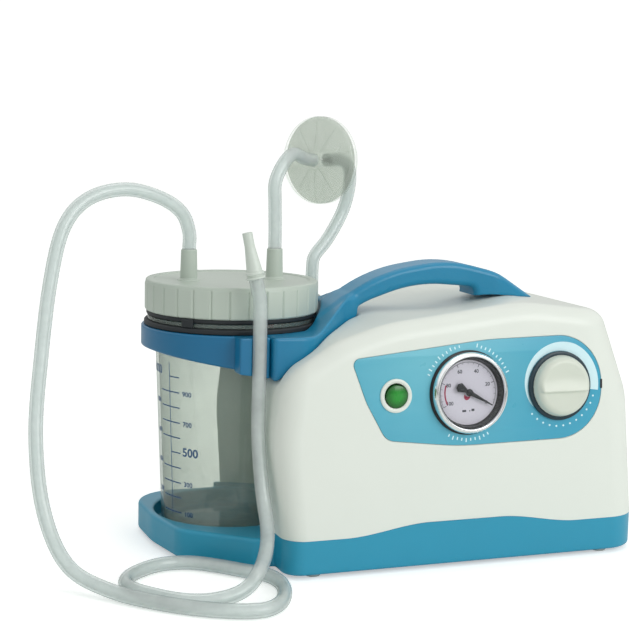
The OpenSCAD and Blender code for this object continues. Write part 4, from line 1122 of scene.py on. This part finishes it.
piece(filter_shell("filter_cap_front", 1), "lid", CAP, "clear_plastic", "filter_front_shell")
piece(filter_shell("filter_cap_back", -1), "lid", CAP, "clear_plastic", "filter_back_shell")


# ------------------------ rear panel
def screw_head(at, r):
    """A pan head with a cross recess."""
    o = turned("screw", [(0, -9, 0), (1.5, -9, 0.3), (1.5, 3, 0), (r, 3, 0.1), (r, 4, 0.5),
                         (r * 0.6, 4.8, 0.6), (0, 4.8, 0)], at, 48)
    return combine(o, [block("recess", (-a, -b, 3.7), (a, b, 6), at) for a, b in ((1.7, 0.4), (0.4, 1.7))])


inlet = mid("mains_inlet")
SCREW_SPACING, OUT_OF_REAR = 40, Matrix.Rotation(-math.pi / 2, 4, "X")
screws = []
for x in (inlet.x - SCREW_SPACING / 2, inlet.x + SCREW_SPACING / 2):
    screws.append(screw_head(Matrix.Translation((x, HALF, inlet.z)) @ OUT_OF_REAR, 3))
piece(together("inlet_screw_heads", screws), "root", STEEL, "steel", "inlet_screws")
for node in ("mains_inlet", "fuse_drawer"):
    weld = frame["nodes"][node].modifiers.new("weld", "WELD")
    weld.merge_threshold = 1e-6
    edge_bevel(frame["nodes"][node], 0.4, 2, 40)

# ------------------------ materials of the CAD nodes
for part in frame["record"]["subparts"]:
    node = frame["nodes"][part["node"]]
    node.data.materials.clear()
    node.data.materials.append(SLOTS[part["material_slot"]])
frame["nodes"]["float_cage"].data.materials[0] = CAGE

# ------------------------ light, floor and camera
floor_white, t, place, out = new_material("floor")
lit = finish(t, place, "#f4f6f4", 0.8, 0.0, 0.004, 3, 40, 0.1, 0.0)
seen = t.add("LightPath").outputs["Is Camera Ray"]
glow = t.add("Emission", Color=(1, 1, 1, 1), Strength=t.math("MULTIPLY", seen, 0.46))
glowing = t.add("AddShader")
t.put(lit, glowing.inputs[0])
t.put(glow.outputs[0], glowing.inputs[1])
t.put(glowing.outputs[0], out.inputs[0])
corners = [(-9000, -6000, 0), (9000, -6000, 0), (9000, 12000, 0), (-9000, 12000, 0)]
floor = mesh("floor", corners, [(0, 1, 2, 3)])
floor.data.materials.append(floor_white)

world = bpy.data.worlds.new("studio")
scene.world = world
world.use_nodes = True
world.node_tree.nodes.clear()
t = Nodes(world.node_tree)
rays = t.add("LightPath").outputs
height = t.add("SeparateXYZ", Vector=t.add("TexCoord").outputs["Generated"]).outputs["Z"]
mirrored = t.add("Background", Color=(1, 1, 1, 1), Strength=t.span(height, -0.05, 0.45, 0.25, 1.05))
lighting = t.add("Background", Color=(0.985, 1, 0.985, 1), Strength=0.6)
backdrop = t.add("Background", Color=(1, 1, 1, 1), Strength=1.1)
indirect = t.blend(rays["Is Glossy Ray"], lighting.outputs[0], mirrored.outputs[0])
shown = t.math("MAXIMUM", rays["Is Camera Ray"], rays["Is Transmission Ray"])
t.put(t.blend(shown, indirect, backdrop.outputs[0]), t.add("OutputWorld").inputs[0])


def lamp(name, at, to, size, power):
    """A soft box, placed in the case's own axes, with its size in metres."""
    light = bpy.data.lights.new(name, "AREA")
    light.shape, light.size, light.size_y, light.energy = "RECTANGLE", size[0], size[1], power
    o = bpy.data.objects.new(name, light)
    o.location = in_row(at)
    o.rotation_euler = (Vector(to) - Vector(at)).to_track_quat("-Z", "Y").to_euler()
    scene.collection.objects.link(o)


lamp("key", (1000, -1800, 1100), (0, 0, 100), (1.4, 1.1), 17)
lamp("top", (200, 100, 2100), (0, 0, 0), (1.6, 1.2), 4.5)

YAW, PITCH, ROLL = 0.3578722, 0.1360585, 0.0227510
CAMERA_AT = in_row((-438.8315, -1031.0741, 318.7632))
ahead = Vector((math.sin(YAW) * math.cos(PITCH), math.cos(YAW) * math.cos(PITCH), -math.sin(PITCH)))
side = Vector((math.cos(YAW), -math.sin(YAW), 0))
above = side.cross(ahead)
turn = Matrix((side * math.cos(ROLL) + above * math.sin(ROLL), above * math.cos(ROLL) - side * math.sin(ROLL),
               -ahead)).transposed()
camera = bpy.data.objects.new("camera", bpy.data.cameras.new("camera"))
camera.data.sensor_width = 36
camera.data.lens = 84.6415
camera.matrix_world = Matrix.Translation(CAMERA_AT) @ turn.to_4x4()
scene.collection.objects.link(camera)
scene.camera = camera
scene.view_settings.view_transform = "Standard"
scene.view_settings.look = "None"
